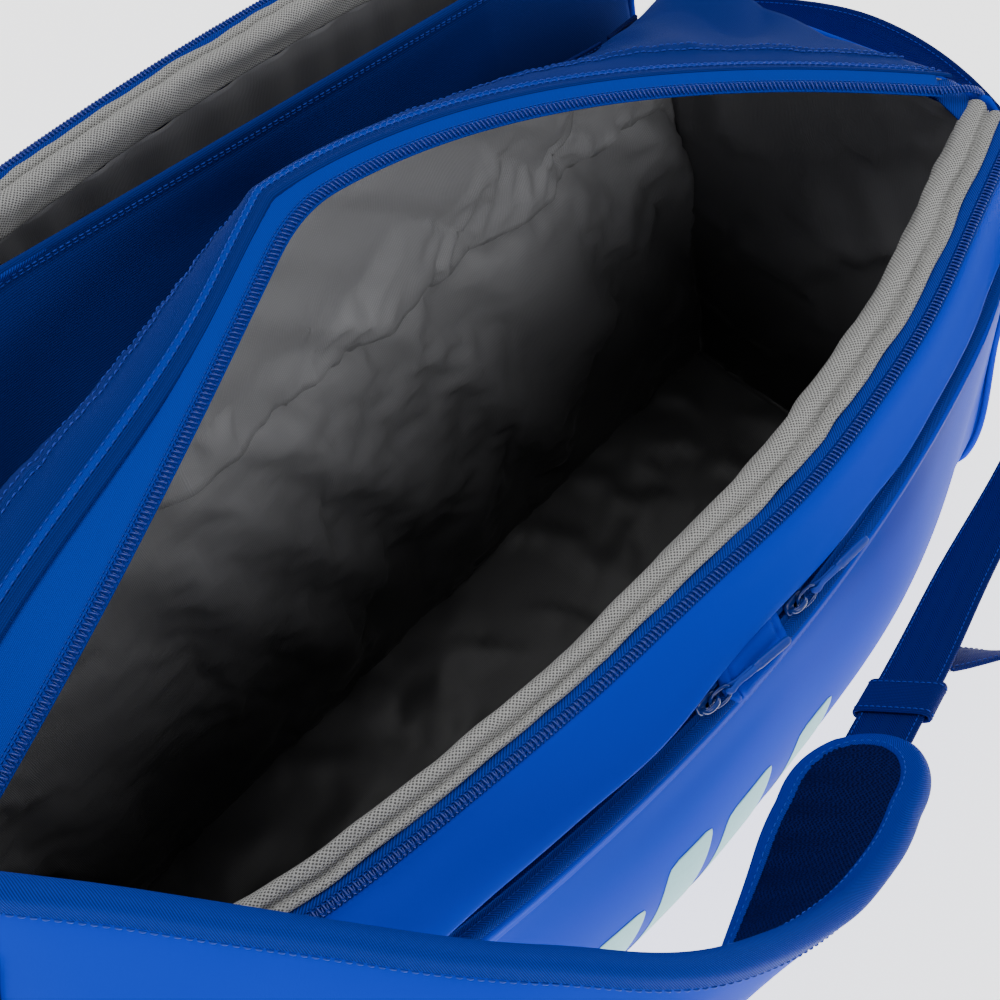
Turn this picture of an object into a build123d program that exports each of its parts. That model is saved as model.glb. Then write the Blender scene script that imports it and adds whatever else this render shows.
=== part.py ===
from build123d import *
import os
from math import cos, pi, radians, sin, sqrt

# Racket tournament bag, standing on its base with both compartments unzipped.
# Millimetres, +Z up. Origin: centre of the base's underside. +X runs along the bag,
# -Y is the front with the zipped pocket (compartment A), +Y is the rear (compartment B).

# ---------------------------------------------------------------- driving dimensions
BASE_LENGTH = 700          # outside length of the base
BASE_WIDTH = 312           # outside width of the base
BASE_CORNER = 45           # plan radius of the base's corners
BASE_THICKNESS = 5
WALL_FOOT = 5.6            # height at which every wall starts, on top of the base
SIDE_REACH = 340           # the long walls run from -SIDE_REACH to +SIDE_REACH
END_GAP = 0.6              # seam allowance between a long wall and an end panel
WALL = 5                   # foam-backed wall
SKIN = 1.6                 # single coated cloth
LINING = 0.9               # lining cloth
CLEAR = 0.5                # gap between neighbouring layers

SPINE_Y = 115              # middle of the valley between the two compartments
SPINE_HALF = 12
SPINE_Z = 243              # floor of that valley

REAR_RIM_Z = 330           # middle of compartment B's rear rim
ROLL_WIDE = 14             # padded mesh roll on a mouth
ROLL_HIGH = 15
STRIP_WIDE = 6             # flat mesh strip beside the roll
COIL_WIDE = 5              # one half of an open coil zipper
COIL_HIGH = 2.6
TAPE_HIGH = 1.2

SKIN_THICK = 1.6           # layers of a shoulder pad, from the outside in
FOAM_THICK = 6
MESH_THICK = 1.8
WEB_THICK = 1.8            # shoulder webbing

BEND_X = 26                # station where compartment A's flap stands tallest
SPANS = 13                 # evenly spaced lofting spans along the bag, one station on BEND_X
STATIONS = [-SIDE_REACH + 2 * SIDE_REACH * i / SPANS for i in range(SPANS + 1)]

os.makedirs("parts", exist_ok=True)
written = []


def save(part, name):
    """Label one sub-part and write its STEP file."""
    part.label = name
    export_step(part, f"parts/{name}.step")
    written.append(name)


# ---------------------------------------------------------------- shape of the mouths
def front_y(x):
    """Inner edge of compartment A's front rim: a shallow outward bow."""
    return -134 + 5.5e-4 * (x - 40) ** 2


def flap_y(x):
    """Free edge of compartment A's rear flap: nearly straight to the tall corner, round past it."""
    if x < BEND_X:
        return 80 - 0.36 * (BEND_X - x) - 11 * sin(pi * (BEND_X - x) / 366)
    return 80 - 152 * ((x - BEND_X) / 315) ** 2


def flap_z(x):
    """Height of that free edge, tallest at BEND_X."""
    reach = 365 if x < BEND_X else 315
    return 332 + 52 * (1 - (abs(x - BEND_X) / reach) ** 1.3)


def flap_fold(x):
    """How broadly the flap folds over behind its free edge: 0 past the tall corner, 1 near the end."""
    reach = min(max((-20 - x) / 160, 0), 1)
    return reach * reach * (3 - 2 * reach)


def rear_y(x):
    """Outer edge of compartment B's rear rim."""
    return 226 - 2.6e-4 * x ** 2


def inner_b_y(x):
    """Top edge of compartment B's inner panel, nearest the rear rim on the near side."""
    if x < -60:
        return 175 + 0.06 * (x + 60)
    if x < 225:
        return 168 - 0.115 * x
    return 142 + 0.08 * (x - 225)


def bulge(x):
    """How full the front pocket is along the bag, 1 in the middle."""
    return 1 - 0.75 * (x / 345) ** 2


# ---------------------------------------------------------------- profiles across the bag
# Each profile is a list of (y, z) points on a wall's outer side, at station x.
def front_wall_line(x):
    return [(-132, WALL_FOOT + 2), (0.45 * front_y(x) - 76, 150), (front_y(x) - 7, 310)]


def pocket_line(x):
    top = front_y(x) - 54
    return [(-152, WALL_FOOT), (-162 - 32 * bulge(x), 85),
            (front_y(x) - 62 - 20 * bulge(x), 185), (top, 268)]


def top_band_line(x):
    return [(front_y(x) - 42, 292), (front_y(x) - 23, 318)]


def flap_line(x):
    y = flap_y(x)
    z = flap_z(x)
    fold_y = y + 9 + 24 * flap_fold(x)
    fold_z = z - 1.5 + 7.5 * flap_fold(x)
    return [(SPINE_Y - SPINE_HALF, SPINE_Z + CLEAR), (101.5, 270), (97, 294),
            ((fold_y + 100) / 2 + 4, z - 20), (fold_y, fold_z), (y + 1, z)]


def wall_a_line(x):
    return [(38, WALL_FOOT), (SPINE_Y - SPINE_HALF - 1, SPINE_Z - 5)]


def wall_b_line(x):
    return [(SPINE_Y + SPINE_HALF + 1, SPINE_Z - 5), (52, WALL_FOOT + 2.6)]


def inner_b_line(x):
    return [(inner_b_y(x), 334), (inner_b_y(x) * 0.5 + 63, 288),
            (SPINE_Y + SPINE_HALF - 1, SPINE_Z + 2.4)]


def rear_line(x):
    top = rear_y(x)
    return [(top - 8, REAR_RIM_Z - 11), (top + 8, 200), (200, 85), (153, WALL_FOOT + 1.5)]


def shifted(points, distance):
    """Points of an open profile moved sideways, to the right of its direction of travel."""
    result = []
    last = len(points) - 1
    for index, (y, z) in enumerate(points):
        before = points[max(index - 1, 0)]
        after = points[min(index + 1, last)]
        run_y = after[0] - before[0]
        run_z = after[1] - before[1]
        run = sqrt(run_y ** 2 + run_z ** 2)
        result.append((y + distance * run_z / run, z - distance * run_y / run))
    return result


def long_wall(line, start, thickness, stations=STATIONS):
    """A wall lofted along X: a band of one thickness, starting a distance inside its line."""
    with BuildPart() as wall:
        for x in stations:
            with BuildSketch(Plane.YZ.offset(x)):
                with BuildLine():
                    outer = Spline(*shifted(line(x), start))
                    inner = Spline(*shifted(line(x), start + thickness))
                    Line(outer @ 0, inner @ 0)
                    Line(outer @ 1, inner @ 1)
                make_face()
        loft()
    return wall.part


def end_panel(outline, x, thickness):
    """A flat panel across one end of a compartment, from its outline in (y, z)."""
    with BuildPart() as panel:
        with BuildSketch(Plane.YZ.offset(x)):
            with BuildLine():
                Polyline(*outline, close=True)
            make_face()
        extrude(amount=thickness)
    return panel.part


def rail(centre, wide, high, rounded=False, stations=STATIONS):
    """A strip or roll that follows a mouth: its centre (y, z) is a function of x."""
    with BuildPart() as strip:
        for x in stations:
            with BuildSketch(Plane.YZ.offset(x)):
                with Locations(centre(x)):
                    if rounded:
                        Ellipse(wide / 2, high / 2)
                    else:
                        Rectangle(wide, high)
        loft()
    return strip.part


# ---------------------------------------------------------------- base
with BuildPart() as base_panel:
    with BuildSketch():
        RectangleRounded(BASE_LENGTH, BASE_WIDTH, BASE_CORNER)
    extrude(amount=BASE_THICKNESS)
    fillet(base_panel.edges().group_by(Axis.Z)[0], radius=2)
save(base_panel.part, "base_panel")

BOARD_LENGTH = 2 * SIDE_REACH - 30
BOARD_THICK = 3
FLOORS = [(-122, 28), (66, 140)]    # from y to y, the floor of each compartment


def floor_pair(bottom, thickness):
    """One flat piece on the floor of each compartment."""
    with BuildPart() as pair:
        with BuildSketch(Plane.XY.offset(bottom)):
            for low, high in FLOORS:
                with Locations((0, (low + high) / 2)):
                    RectangleRounded(BOARD_LENGTH, high - low, 12)
        extrude(amount=thickness)
    return pair.part


save(floor_pair(WALL_FOOT, BOARD_THICK), "base_boards")
save(floor_pair(WALL_FOOT + BOARD_THICK + CLEAR, LINING), "lining_floors")

# ---------------------------------------------------------------- long walls
save(long_wall(front_wall_line, 0, WALL), "front_wall")
save(long_wall(pocket_line, 0, SKIN + 1), "front_pocket_panel")
save(long_wall(top_band_line, 0, SKIN + 1), "front_top_band")
save(long_wall(wall_a_line, 0, -WALL), "divider_wall_a")
save(long_wall(wall_b_line, 0, -WALL), "divider_wall_b")
save(long_wall(inner_b_line, 0, -3), "inner_panel_b")
save(long_wall(flap_line, 0, -SKIN), "top_flap_a")
save(long_wall(rear_line, 0, WALL), "rear_panel")

with BuildPart() as spine_panel:
    with BuildSketch(Plane.XY.offset(SPINE_Z)):
        with Locations((0, SPINE_Y)):
            Rectangle(2 * SIDE_REACH, 2 * SPINE_HALF + 6)
    extrude(amount=-2)
save(spine_panel.part, "spine_panel")

# ---------------------------------------------------------------- linings
INSIDE = WALL + CLEAR
save(long_wall(front_wall_line, INSIDE, LINING), "lining_a_front")
save(long_wall(wall_a_line, -INSIDE, -LINING), "lining_a_rear")
save(long_wall(flap_line, -SKIN - CLEAR, -LINING), "lining_a_flap")
lining_b = long_wall(wall_b_line, -INSIDE, -LINING) + long_wall(rear_line, INSIDE, LINING)
save(lining_b, "lining_b")

# ---------------------------------------------------------------- end panels
SIDES = [(-1, "near"), (1, "far")]
for side, end in SIDES:
    x = side * SIDE_REACH
    start = x + side * END_GAP
    outline_a = pocket_line(x) + [(front_y(x) - 23, 318), (flap_y(x), 326), (30, 314), (96, 292)]
    outline_a += [(102, SPINE_Z), (102, SPINE_Z - 4), (38, WALL_FOOT)]
    outline_b = [(52, WALL_FOOT), (128, SPINE_Z - 4), (128, SPINE_Z), (inner_b_y(x), 326)]
    outline_b += [(rear_y(x) - 4, REAR_RIM_Z - 3)] + rear_line(x)
    save(end_panel(outline_a, start, side * WALL), f"end_panel_a_{end}")
    save(end_panel(outline_b, start, side * WALL), f"end_panel_b_{end}")

# ---------------------------------------------------------------- mouths
MOUTH_REACH = 330
MOUTH = [-MOUTH_REACH + 2 * MOUTH_REACH * i / SPANS for i in range(SPANS + 1)]


def mouth_rail(edge, aside, z, wide, high, rounded=False):
    """A strip along a mouth, a distance aside from its edge, at a height that may vary."""
    def centre(x):
        return (edge(x) + aside, z(x) if callable(z) else z)
    return rail(centre, wide, high, rounded, MOUTH)


def flap_top(x):
    return flap_z(x) + 0.7


roll_a = mouth_rail(front_y, -5, 321, ROLL_WIDE - 2, ROLL_HIGH, True)
strip_a = mouth_rail(front_y, -15, 324, STRIP_WIDE, 2.4)
save(roll_a + strip_a, "rim_roll_a")
tape_a_front = mouth_rail(front_y, -18, 320.6, 9, TAPE_HIGH)
tape_a_rear = mouth_rail(flap_y, -5, flap_top, 11, TAPE_HIGH)
save(tape_a_front + tape_a_rear, "zip_tape_a")
save(mouth_rail(front_y, -26, 321.4, COIL_WIDE, COIL_HIGH), "zip_coil_a_front")
save(mouth_rail(flap_y, -13.4, flap_top, COIL_WIDE, COIL_HIGH), "zip_coil_a_rear")

roll_b = mouth_rail(rear_y, -14, REAR_RIM_Z, ROLL_WIDE - 2, ROLL_HIGH, True)
strip_b = mouth_rail(rear_y, -4, REAR_RIM_Z + 3, STRIP_WIDE, 2.4)
save(roll_b + strip_b, "rim_roll_b")
tape_b_rear = mouth_rail(rear_y, -1, REAR_RIM_Z - 0.4, 9, TAPE_HIGH)
tape_b_inner = mouth_rail(inner_b_y, 5, 336.4, 9, TAPE_HIGH)
save(tape_b_rear + tape_b_inner, "zip_tape_b")
save(mouth_rail(rear_y, 6.5, REAR_RIM_Z + 0.4, COIL_WIDE, COIL_HIGH), "zip_coil_b")

# ---------------------------------------------------------------- front pocket zipper
POCKET_Z = 282
POCKET_IN = 46             # from the rim's inner edge out to the pocket's chain
LEAN = 30                  # the chain's face looks out and up by this many degrees
POCKET_STATIONS = [-300, -180, -60, 60, 180, 300]
ACROSS = (-sin(radians(LEAN)), -cos(radians(LEAN)))
OUT = (-cos(radians(LEAN)), sin(radians(LEAN)))


def leaning_rail(offset, rise, wide, thick):
    """A flat strip along the pocket's zipper, lying in the chain's own leaning plane."""
    def corner(y, z, a, b):
        return (y + a * ACROSS[0] * wide / 2 + b * OUT[0] * thick / 2,
                z + a * ACROSS[1] * wide / 2 + b * OUT[1] * thick / 2)

    with BuildPart() as strip:
        for x in POCKET_STATIONS:
            y = front_y(x) - POCKET_IN + offset * ACROSS[0] + rise * OUT[0]
            z = POCKET_Z + offset * ACROSS[1] + rise * OUT[1]
            with BuildSketch(Plane.YZ.offset(x)):
                with BuildLine():
                    Polyline(*[corner(y, z, a, b) for a, b in [(-1, -1), (1, -1), (1, 1), (-1, 1)]],
                             close=True)
                make_face()
        loft()
    return strip.part


CHAIN_RISE = -2.4
save(leaning_rail(0, CHAIN_RISE, 6.4, 2.2), "pocket_zip_chain")
tape_upper = leaning_rail(-6.8, CHAIN_RISE - 1.4, 6, TAPE_HIGH)
tape_lower = leaning_rail(7.6, CHAIN_RISE - 1.4, 7.6, TAPE_HIGH)
save(tape_upper + tape_lower, "pocket_zip_tape")


def pocket_plane(x, rise):
    """Plane on the pocket's chain: x along the bag, z straight out of the panel."""
    slope = 2 * 5.5e-4 * (x - 40)
    out = Vector(slope * cos(radians(LEAN)), -cos(radians(LEAN)), sin(radians(LEAN))).normalized()
    at = Vector(x, front_y(x) - POCKET_IN, POCKET_Z) + out * rise
    return Plane(origin=at, x_dir=Vector(1, slope, 0), z_dir=out)


TAB_X = 42                 # middle of the fabric garage between the two sliders
TAB_LONG = 40
with BuildPart() as pocket_tab:
    with BuildSketch(pocket_plane(TAB_X, CHAIN_RISE + 1.4)):
        RectangleRounded(TAB_LONG, 17, 3)
    extrude(amount=2.6)
save(pocket_tab.part, "pocket_tab")

# ---------------------------------------------------------------- sliders and pullers
SLIDER_LONG = 13
SLIDER_WIDE = 9
PLATE = 2                  # slider plate over the chain
BRIDGE_GAP = 2.6           # room for the puller's wire under the bridge
BRIDGE = 1.2
WIRE = 0.85                # radius of the puller's wire ring
RING_LONG = 11
RING_WIDE = 8.4
GRIP_LONG = 34
REST_TILT = 8              # the puller rests this far off the panel, degrees


def slider(plane):
    """Zip slider: plate, two posts and a bridge, on a plane that touches the chain."""
    with BuildPart() as body:
        with BuildSketch(plane):
            RectangleRounded(SLIDER_LONG, SLIDER_WIDE, 3.2)
        extrude(amount=PLATE)
        with BuildSketch(plane.offset(PLATE)):
            with Locations((-3.9, 0), (3.9, 0)):
                RectangleRounded(2.2, 3.4, 0.8)
        extrude(amount=BRIDGE_GAP)
        with BuildSketch(plane.offset(PLATE + BRIDGE_GAP)):
            RectangleRounded(10, 3.4, 0.8)
        extrude(amount=BRIDGE)
    return body.part


def puller(plane):
    """Wire ring through the slider's bridge and a moulded cord grip on the ring."""
    bar = plane.offset(PLATE + BRIDGE_GAP / 2)
    tilt = radians(REST_TILT)
    lay = Plane(origin=bar.origin, x_dir=bar.x_dir * cos(tilt) + bar.z_dir * sin(tilt),
                z_dir=bar.z_dir * cos(tilt) - bar.x_dir * sin(tilt))
    with BuildPart() as ring:
        with BuildSketch(lay.offset(-WIRE)):
            with Locations((RING_LONG / 2, 0)):
                RectangleRounded(RING_LONG + 2 * WIRE, RING_WIDE + 2 * WIRE, 3)
                RectangleRounded(RING_LONG - 2 * WIRE, RING_WIDE - 2 * WIRE, 1.6, mode=Mode.SUBTRACT)
        extrude(amount=2 * WIRE)
        chamfer(ring.edges().filter_by(GeomType.CIRCLE), length=0.3)
    with BuildPart() as grip:
        with BuildSketch(lay.offset(-1.2)):
            with Locations((RING_LONG + 1.2 + GRIP_LONG / 2, 0)):
                RectangleRounded(GRIP_LONG, 6, 2.4)
        extrude(amount=2.4)
        fillet(grip.edges().group_by(SortBy.LENGTH)[-1], radius=0.8)
    return ring.part + grip.part


POCKET_SLIDERS = [(12, "pocket_near"), (74, "pocket_far")]
for x, place in POCKET_SLIDERS:
    plane = pocket_plane(x, CHAIN_RISE + 1.4)
    save(slider(plane), f"slider_{place}")
    save(puller(plane), f"puller_{place}")

# Each mouth's zipper runs on, closed, down both end panels; its slider stands at the bottom.
TAIL_TOP = 306
TAIL_BOTTOM = 206
TAIL_SLIDER_Z = 222
OUTSIDE = SIDE_REACH + END_GAP + WALL
TAILS = {"a": {-1: -72, 1: -94}, "b": {-1: 172, 1: 172}}
for mouth, places in TAILS.items():
    with BuildPart() as tail:
        for side, y in places.items():
            middle = (y, (TAIL_TOP + TAIL_BOTTOM) / 2)
            with BuildSketch(Plane.YZ.offset(side * (OUTSIDE + 0.2))):
                with Locations(middle):
                    Rectangle(24, TAIL_TOP - TAIL_BOTTOM)
            extrude(amount=side * TAPE_HIGH)
            with BuildSketch(Plane.YZ.offset(side * (OUTSIDE + 0.2 + TAPE_HIGH))):
                with Locations(middle):
                    Rectangle(6.4, TAIL_TOP - TAIL_BOTTOM)
            extrude(amount=side * 2.2)
    save(tail.part, f"zip_tail_{mouth}")
    for side, end in SIDES:
        at = (side * (OUTSIDE + 0.2 + TAPE_HIGH + 2.2 + 0.4), places[side], TAIL_SLIDER_Z)
        plane = Plane(origin=at, x_dir=(0, 0, -1), z_dir=(side, 0, 0))
        save(slider(plane), f"slider_{mouth}_{end}")
        save(puller(plane), f"puller_{mouth}_{end}")

# ---------------------------------------------------------------- shoulder straps
AXIS_Y = SPINE_Y           # both straps turn about the line through their two anchors
AXIS_Z = 262
ANCHOR_X = 314             # middle of each sewn anchor tab on the spine
EDGE = 3                   # bound edge on each side of a pad


def band_planes(route):
    """Section planes along a band. A route point is x, y, z, lean, width: lean tips the band's
    upper edge away from the bag, in degrees. Plane x runs across the band, y out of it."""
    points = [Vector(*point[:3]) for point in route]
    planes = []
    for index, point in enumerate(points):
        before = points[max(index - 1, 0)]
        after = points[min(index + 1, len(points) - 1)]
        along = (after - before).normalized()
        up = (Vector(0, 0, 1) - along * along.Z).normalized()
        out = along.cross(up)
        tip = radians(route[index][3])
        planes.append(Plane(origin=point, x_dir=up * cos(tip) + out * sin(tip), z_dir=along))
    return planes


def band(route, width, thickness, aside=0, through=0):
    """Loft one layer of a band. width is a function of the route's own width at each point."""
    with BuildPart() as layer:
        for plane, point in zip(band_planes(route), route):
            with BuildSketch(plane):
                with Locations((aside(point[4]) if callable(aside) else aside, through)):
                    Rectangle(width(point[4]), thickness)
        loft()
    return layer.part


def full(wide):
    return wide


def edge_width(wide):
    return EDGE


def upper_edge(wide):
    return wide / 2 + EDGE / 2 + 0.2


def lower_edge(wide):
    return -upper_edge(wide)


FOAM_FACE = FOAM_THICK / 2 + 0.2
PAD_THICK = SKIN_THICK + FOAM_THICK + MESH_THICK + 0.4


def pad(route, name):
    """Shoulder pad: coated skin outside, foam, air mesh inside, bound along both edges."""
    save(band(route, full, SKIN_THICK, 0, FOAM_FACE + SKIN_THICK / 2), f"{name}_skin")
    save(band(route, full, FOAM_THICK), f"{name}_foam")
    save(band(route, full, MESH_THICK, 0, -FOAM_FACE - MESH_THICK / 2), f"{name}_mesh")
    upper = band(route, edge_width, PAD_THICK + 1, upper_edge)
    lower = band(route, edge_width, PAD_THICK + 1, lower_edge)
    save(upper + lower, f"{name}_binding")


FRONT_PAD = [(-286.5, 0, 383, 0, 34), (-268.2, -33.1, 389, -14, 52), (-244.1, -75.6, 389.9, -28, 60),
             (-220.2, -112, 384.3, -36, 60), (-181.7, -164.5, 365, -38, 60),
             (-135.1, -220, 345.5, -34, 60), (-88.3, -253.2, 322.6, -10, 60),
             (-41.6, -257.5, 297.1, 24, 60), (0, -250.9, 285.2, 44, 60), (30, -245, 277, 50, 52),
             (48, -242, 271, 50, 34)]
FRONT_ROOT = [(-331, 114, 262, 0, 18), (-346, 112, 265, 0, 18), (-360, 96, 280, 0, 24),
              (-364, 68, 316, 0, 28), (-350, 42, 352, 0, 30), (-322, 22, 372, 0, 30),
              (-290, 4, 382, 0, 30)]
FRONT_WEB = [(50, -241.7, 270, 50, 30), (77, -238, 262, 50, 30), (105, -234, 254, 50, 30),
             (161, -224, 247, 45, 30), (253, -208, 250, 35, 30), (312, -182, 262, 20, 30),
             (354, -130, 280, 5, 30), (376, -70, 292, 0, 30), (382, 0, 290, 0, 30),
             (373, 60, 276, 0, 24), (356, 100, 264, 0, 18), (331, 114, 262, 0, 18)]
FRONT_TAIL = [(112, -238, 247.5, 50, 28), (126, -248, 243, 40, 28), (142, -260, 238, 25, 28),
              (158, -270, 230, 0, 28), (170, -272, 218, -15, 28)]
pad(FRONT_PAD, "front_strap")
save(band(FRONT_ROOT, full, WEB_THICK) + band(FRONT_WEB, full, WEB_THICK), "front_strap_web")
save(band(FRONT_TAIL, full, WEB_THICK), "front_strap_tail")

TAB_ROUTE = [(-249, -71, 390.6, -29, 24), (-235, -89, 388.4, -31, 24)]
save(band(TAB_ROUTE, full, 2, -8, FOAM_FACE + SKIN_THICK + 1.8), "front_strap_tab")

REAR_PAD = [(-14, 118, 278, 0, 32), (22, 119, 283, 0, 46), (62, 119.5, 286, 0, 54),
            (110, 119.5, 285, 0, 54), (160, 119, 280, 0, 48), (208, 118, 274, 0, 40),
            (244, 117.5, 268, 0, 32)]
REAR_ROOT = [(-296, 116.5, 264, 0, 18), (-262, 116.5, 264, 0, 30), (-200, 116.5, 264, 0, 30),
             (-140, 116.5, 264, 0, 30), (-80, 116.5, 264.5, 0, 30), (-44, 117, 269, 0, 30),
             (-19, 117.8, 276, 0, 30)]
REAR_WEB = [(248, 117.4, 267.3, 0, 30), (262, 117.1, 265.5, 0, 28), (280, 116.8, 264.5, 0, 22),
            (296, 116.5, 264, 0, 18)]
pad(REAR_PAD, "rear_strap")
save(band(REAR_ROOT, full, WEB_THICK) + band(REAR_WEB, full, WEB_THICK), "rear_strap_web")


def keeper(route, index):
    """Webbing sleeve round a band, centred on one of its route points."""
    plane = band_planes(route)[index]
    with BuildPart() as sleeve:
        with BuildSketch(plane.offset(-11)):
            RectangleRounded(36, 6.4, 1.5)
            RectangleRounded(33, 3.6, 0.6, mode=Mode.SUBTRACT)
        extrude(amount=22)
    return sleeve.part


save(keeper(FRONT_WEB, 1), "front_strap_keeper")
save(keeper(REAR_ROOT, 3), "rear_strap_keeper")

with BuildPart() as anchors:
    with BuildSketch(Plane.XY.offset(SPINE_Z + 0.3)):
        with Locations((-ANCHOR_X, SPINE_Y), (ANCHOR_X, SPINE_Y)):
            RectangleRounded(30, 18, 3)
    extrude(amount=1.6)
    with BuildSketch(Plane.XY.offset(SPINE_Z + 0.3)):
        with Locations((-ANCHOR_X, SPINE_Y), (ANCHOR_X, SPINE_Y)):
            Rectangle(26, 2.4)
    extrude(amount=30)
save(anchors.part, "strap_anchors")

print(len(written), "sub-parts")
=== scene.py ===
from math import cos, pi, radians, sin, sqrt

import bpy
import numpy as np
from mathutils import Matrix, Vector


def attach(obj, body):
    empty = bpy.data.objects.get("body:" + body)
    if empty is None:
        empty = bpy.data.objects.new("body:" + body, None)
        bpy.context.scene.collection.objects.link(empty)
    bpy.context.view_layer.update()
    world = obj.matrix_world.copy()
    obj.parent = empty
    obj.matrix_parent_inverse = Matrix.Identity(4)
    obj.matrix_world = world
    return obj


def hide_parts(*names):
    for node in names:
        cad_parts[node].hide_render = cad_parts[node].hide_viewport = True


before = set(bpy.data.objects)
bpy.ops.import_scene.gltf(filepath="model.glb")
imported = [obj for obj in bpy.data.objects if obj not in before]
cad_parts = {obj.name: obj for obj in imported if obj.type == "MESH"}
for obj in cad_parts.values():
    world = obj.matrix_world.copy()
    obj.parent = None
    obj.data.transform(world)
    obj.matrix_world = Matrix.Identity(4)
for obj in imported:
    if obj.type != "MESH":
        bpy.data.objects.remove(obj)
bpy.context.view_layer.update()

# Racket tournament bag: the visible cloth, zippers and straps on the CAD frame.
# Shapes are worked out in millimetres and written to the meshes in metres.
MM = 0.001

# ---------------------------------------------------------------- numbers shared with the CAD
SIDE_REACH = 340
MOUTH_REACH = 330
WALL_FOOT = 5.6
SPINE_Y = 115
SPINE_HALF = 12
SPINE_Z = 243
BEND_X = 26
POCKET_Z = 282
POCKET_IN = 46
LEAN = radians(30)
RIM_LOW_X = 40
RIM_CURVE = 5.5e-4

# Places of the closed zipper tails, the sliders, the pocket's tab and the strap anchors
END_OUT = SIDE_REACH + 5.6
TAIL_OUT = 346.5
TAIL_TOP = 307
TAIL_FOOT = 206
TAIL_SLIDER_Z = 222
TAB_X = 42
POCKET_SLIDERS = {"pocket_near": 12, "pocket_far": 74}
ANCHOR_X = 314
COIL = (5, 2.6)


def front_y(x):
    return -134 + RIM_CURVE * (x - RIM_LOW_X) ** 2


def flap_y(x):
    near = 80 - 0.36 * (BEND_X - x) - 11 * np.sin(pi * (BEND_X - x) / 366)
    return np.where(x < BEND_X, near, 80 - 152 * ((x - BEND_X) / 315) ** 2)


def flap_z(x):
    reach = np.where(x < BEND_X, 365, 315)
    return 332 + 52 * (1 - (np.abs(x - BEND_X) / reach) ** 1.3)


def flap_fold(x):
    reach = np.clip((-20 - x) / 160, 0, 1)
    return reach * reach * (3 - 2 * reach)


def rear_y(x):
    return 226 - 2.6e-4 * x ** 2


def inner_b_y(x):
    near = 175 + 0.06 * (x + 60)
    far = 142 + 0.08 * (x - 225)
    return np.where(x < -60, near, np.where(x < 225, 168 - 0.115 * x, far))


def bulge(x):
    return 1 - 0.75 * (x / 345) ** 2


def pocket_line(x):
    return [(-152, WALL_FOOT), (-162 - 32 * bulge(x), 85),
            (front_y(x) - 62 - 20 * bulge(x), 185), (front_y(x) - 54, 268)]


def front_wall_line(x):
    return [(-132, WALL_FOOT + 2), (0.45 * front_y(x) - 76, 150), (front_y(x) - 7, 310)]


def flap_line(x):
    y, z, fold = float(flap_y(x)), float(flap_z(x)), float(flap_fold(x))
    fold_y = y + 9 + 24 * fold
    return [(SPINE_Y - SPINE_HALF, SPINE_Z + 0.5), (101.5, 270), (97, 294),
            ((fold_y + 100) / 2 + 4, z - 20), (fold_y, z - 1.5 + 7.5 * fold), (y + 1, z)]


def wall_a_line(x):
    return [(38, WALL_FOOT), (SPINE_Y - SPINE_HALF - 1, SPINE_Z - 5)]


def wall_b_line(x):
    return [(SPINE_Y + SPINE_HALF + 1, SPINE_Z - 5), (52, WALL_FOOT + 2.6)]


def inner_b_line(x):
    y = float(inner_b_y(x))
    return [(y, 334), (y * 0.5 + 63, 288), (SPINE_Y + SPINE_HALF - 1, SPINE_Z + 2.4)]


def rear_line(x):
    top = rear_y(x)
    return [(top - 8, 319), (top + 8, 200), (200, 85), (153, WALL_FOOT + 1.5)]


# ---------------------------------------------------------------- curves and grids
def spline(points, samples):
    """Natural cubic spline through points, at samples between 0 and 1 of its length."""
    pts = np.asarray(points, float)
    gaps = np.linalg.norm(np.diff(pts, axis=0), axis=1)
    knots = np.concatenate([[0], np.cumsum(gaps)])
    last = len(pts) - 1
    system = np.eye(last + 1)
    target = np.zeros_like(pts)
    for i in range(1, last):
        system[i, i - 1:i + 2] = gaps[i - 1], 2 * (gaps[i - 1] + gaps[i]), gaps[i]
        target[i] = 6 * ((pts[i + 1] - pts[i]) / gaps[i] - (pts[i] - pts[i - 1]) / gaps[i - 1])
    bend = np.linalg.solve(system, target)
    t = np.asarray(samples) * knots[-1]
    i = np.clip(np.searchsorted(knots, t, side="right") - 1, 0, last - 1)
    h = gaps[i][:, None]
    a = (knots[i + 1] - t)[:, None] / h
    b = 1 - a
    return a * pts[i] + b * pts[i + 1] + ((a ** 3 - a) * bend[i] + (b ** 3 - b) * bend[i + 1]) * h ** 2 / 6


def shifted(points, distance):
    result = []
    last = len(points) - 1
    for index, (y, z) in enumerate(points):
        before, after = points[max(index - 1, 0)], points[min(index + 1, last)]
        run_y, run_z = after[0] - before[0], after[1] - before[1]
        run = sqrt(run_y ** 2 + run_z ** 2)
        result.append((y + distance * run_z / run, z - distance * run_y / run))
    return result


def wall_grid(line, aside, step=3, across=3, reach=SIDE_REACH):
    """Points of a long wall, a distance aside from its line: rows along X, columns along the line."""
    xs = np.linspace(-reach, reach, int(2 * reach / step) + 1)
    middle = shifted(line(0.0), aside)
    length = np.sum(np.linalg.norm(np.diff(np.array(middle), axis=0), axis=1))
    samples = np.linspace(0, 1, max(int(length / across), 4) + 1)
    rows = np.empty((len(xs), len(samples), 3))
    for i, x in enumerate(xs):
        rows[i, :, 0] = x
        rows[i, :, 1:] = spline(shifted(line(x), aside), samples)
    return rows


def coons(left, right, count_across, count_up, x):
    """A sheet across one end of a compartment, between two edge curves of (y, z) points."""
    up = np.linspace(0, 1, count_up)
    a, b = spline(left, up), spline(right, up)
    w = np.linspace(0, 1, count_across)[:, None, None]
    flat = a[None] * (1 - w) + b[None] * w
    return np.concatenate([np.full(flat.shape[:2] + (1,), float(x)), flat], axis=2)


def unit(v):
    return v / np.maximum(np.linalg.norm(v, axis=-1, keepdims=True), 1e-9)


def normals(rows):
    return unit(np.cross(np.gradient(rows, axis=0), np.gradient(rows, axis=1)))


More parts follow.
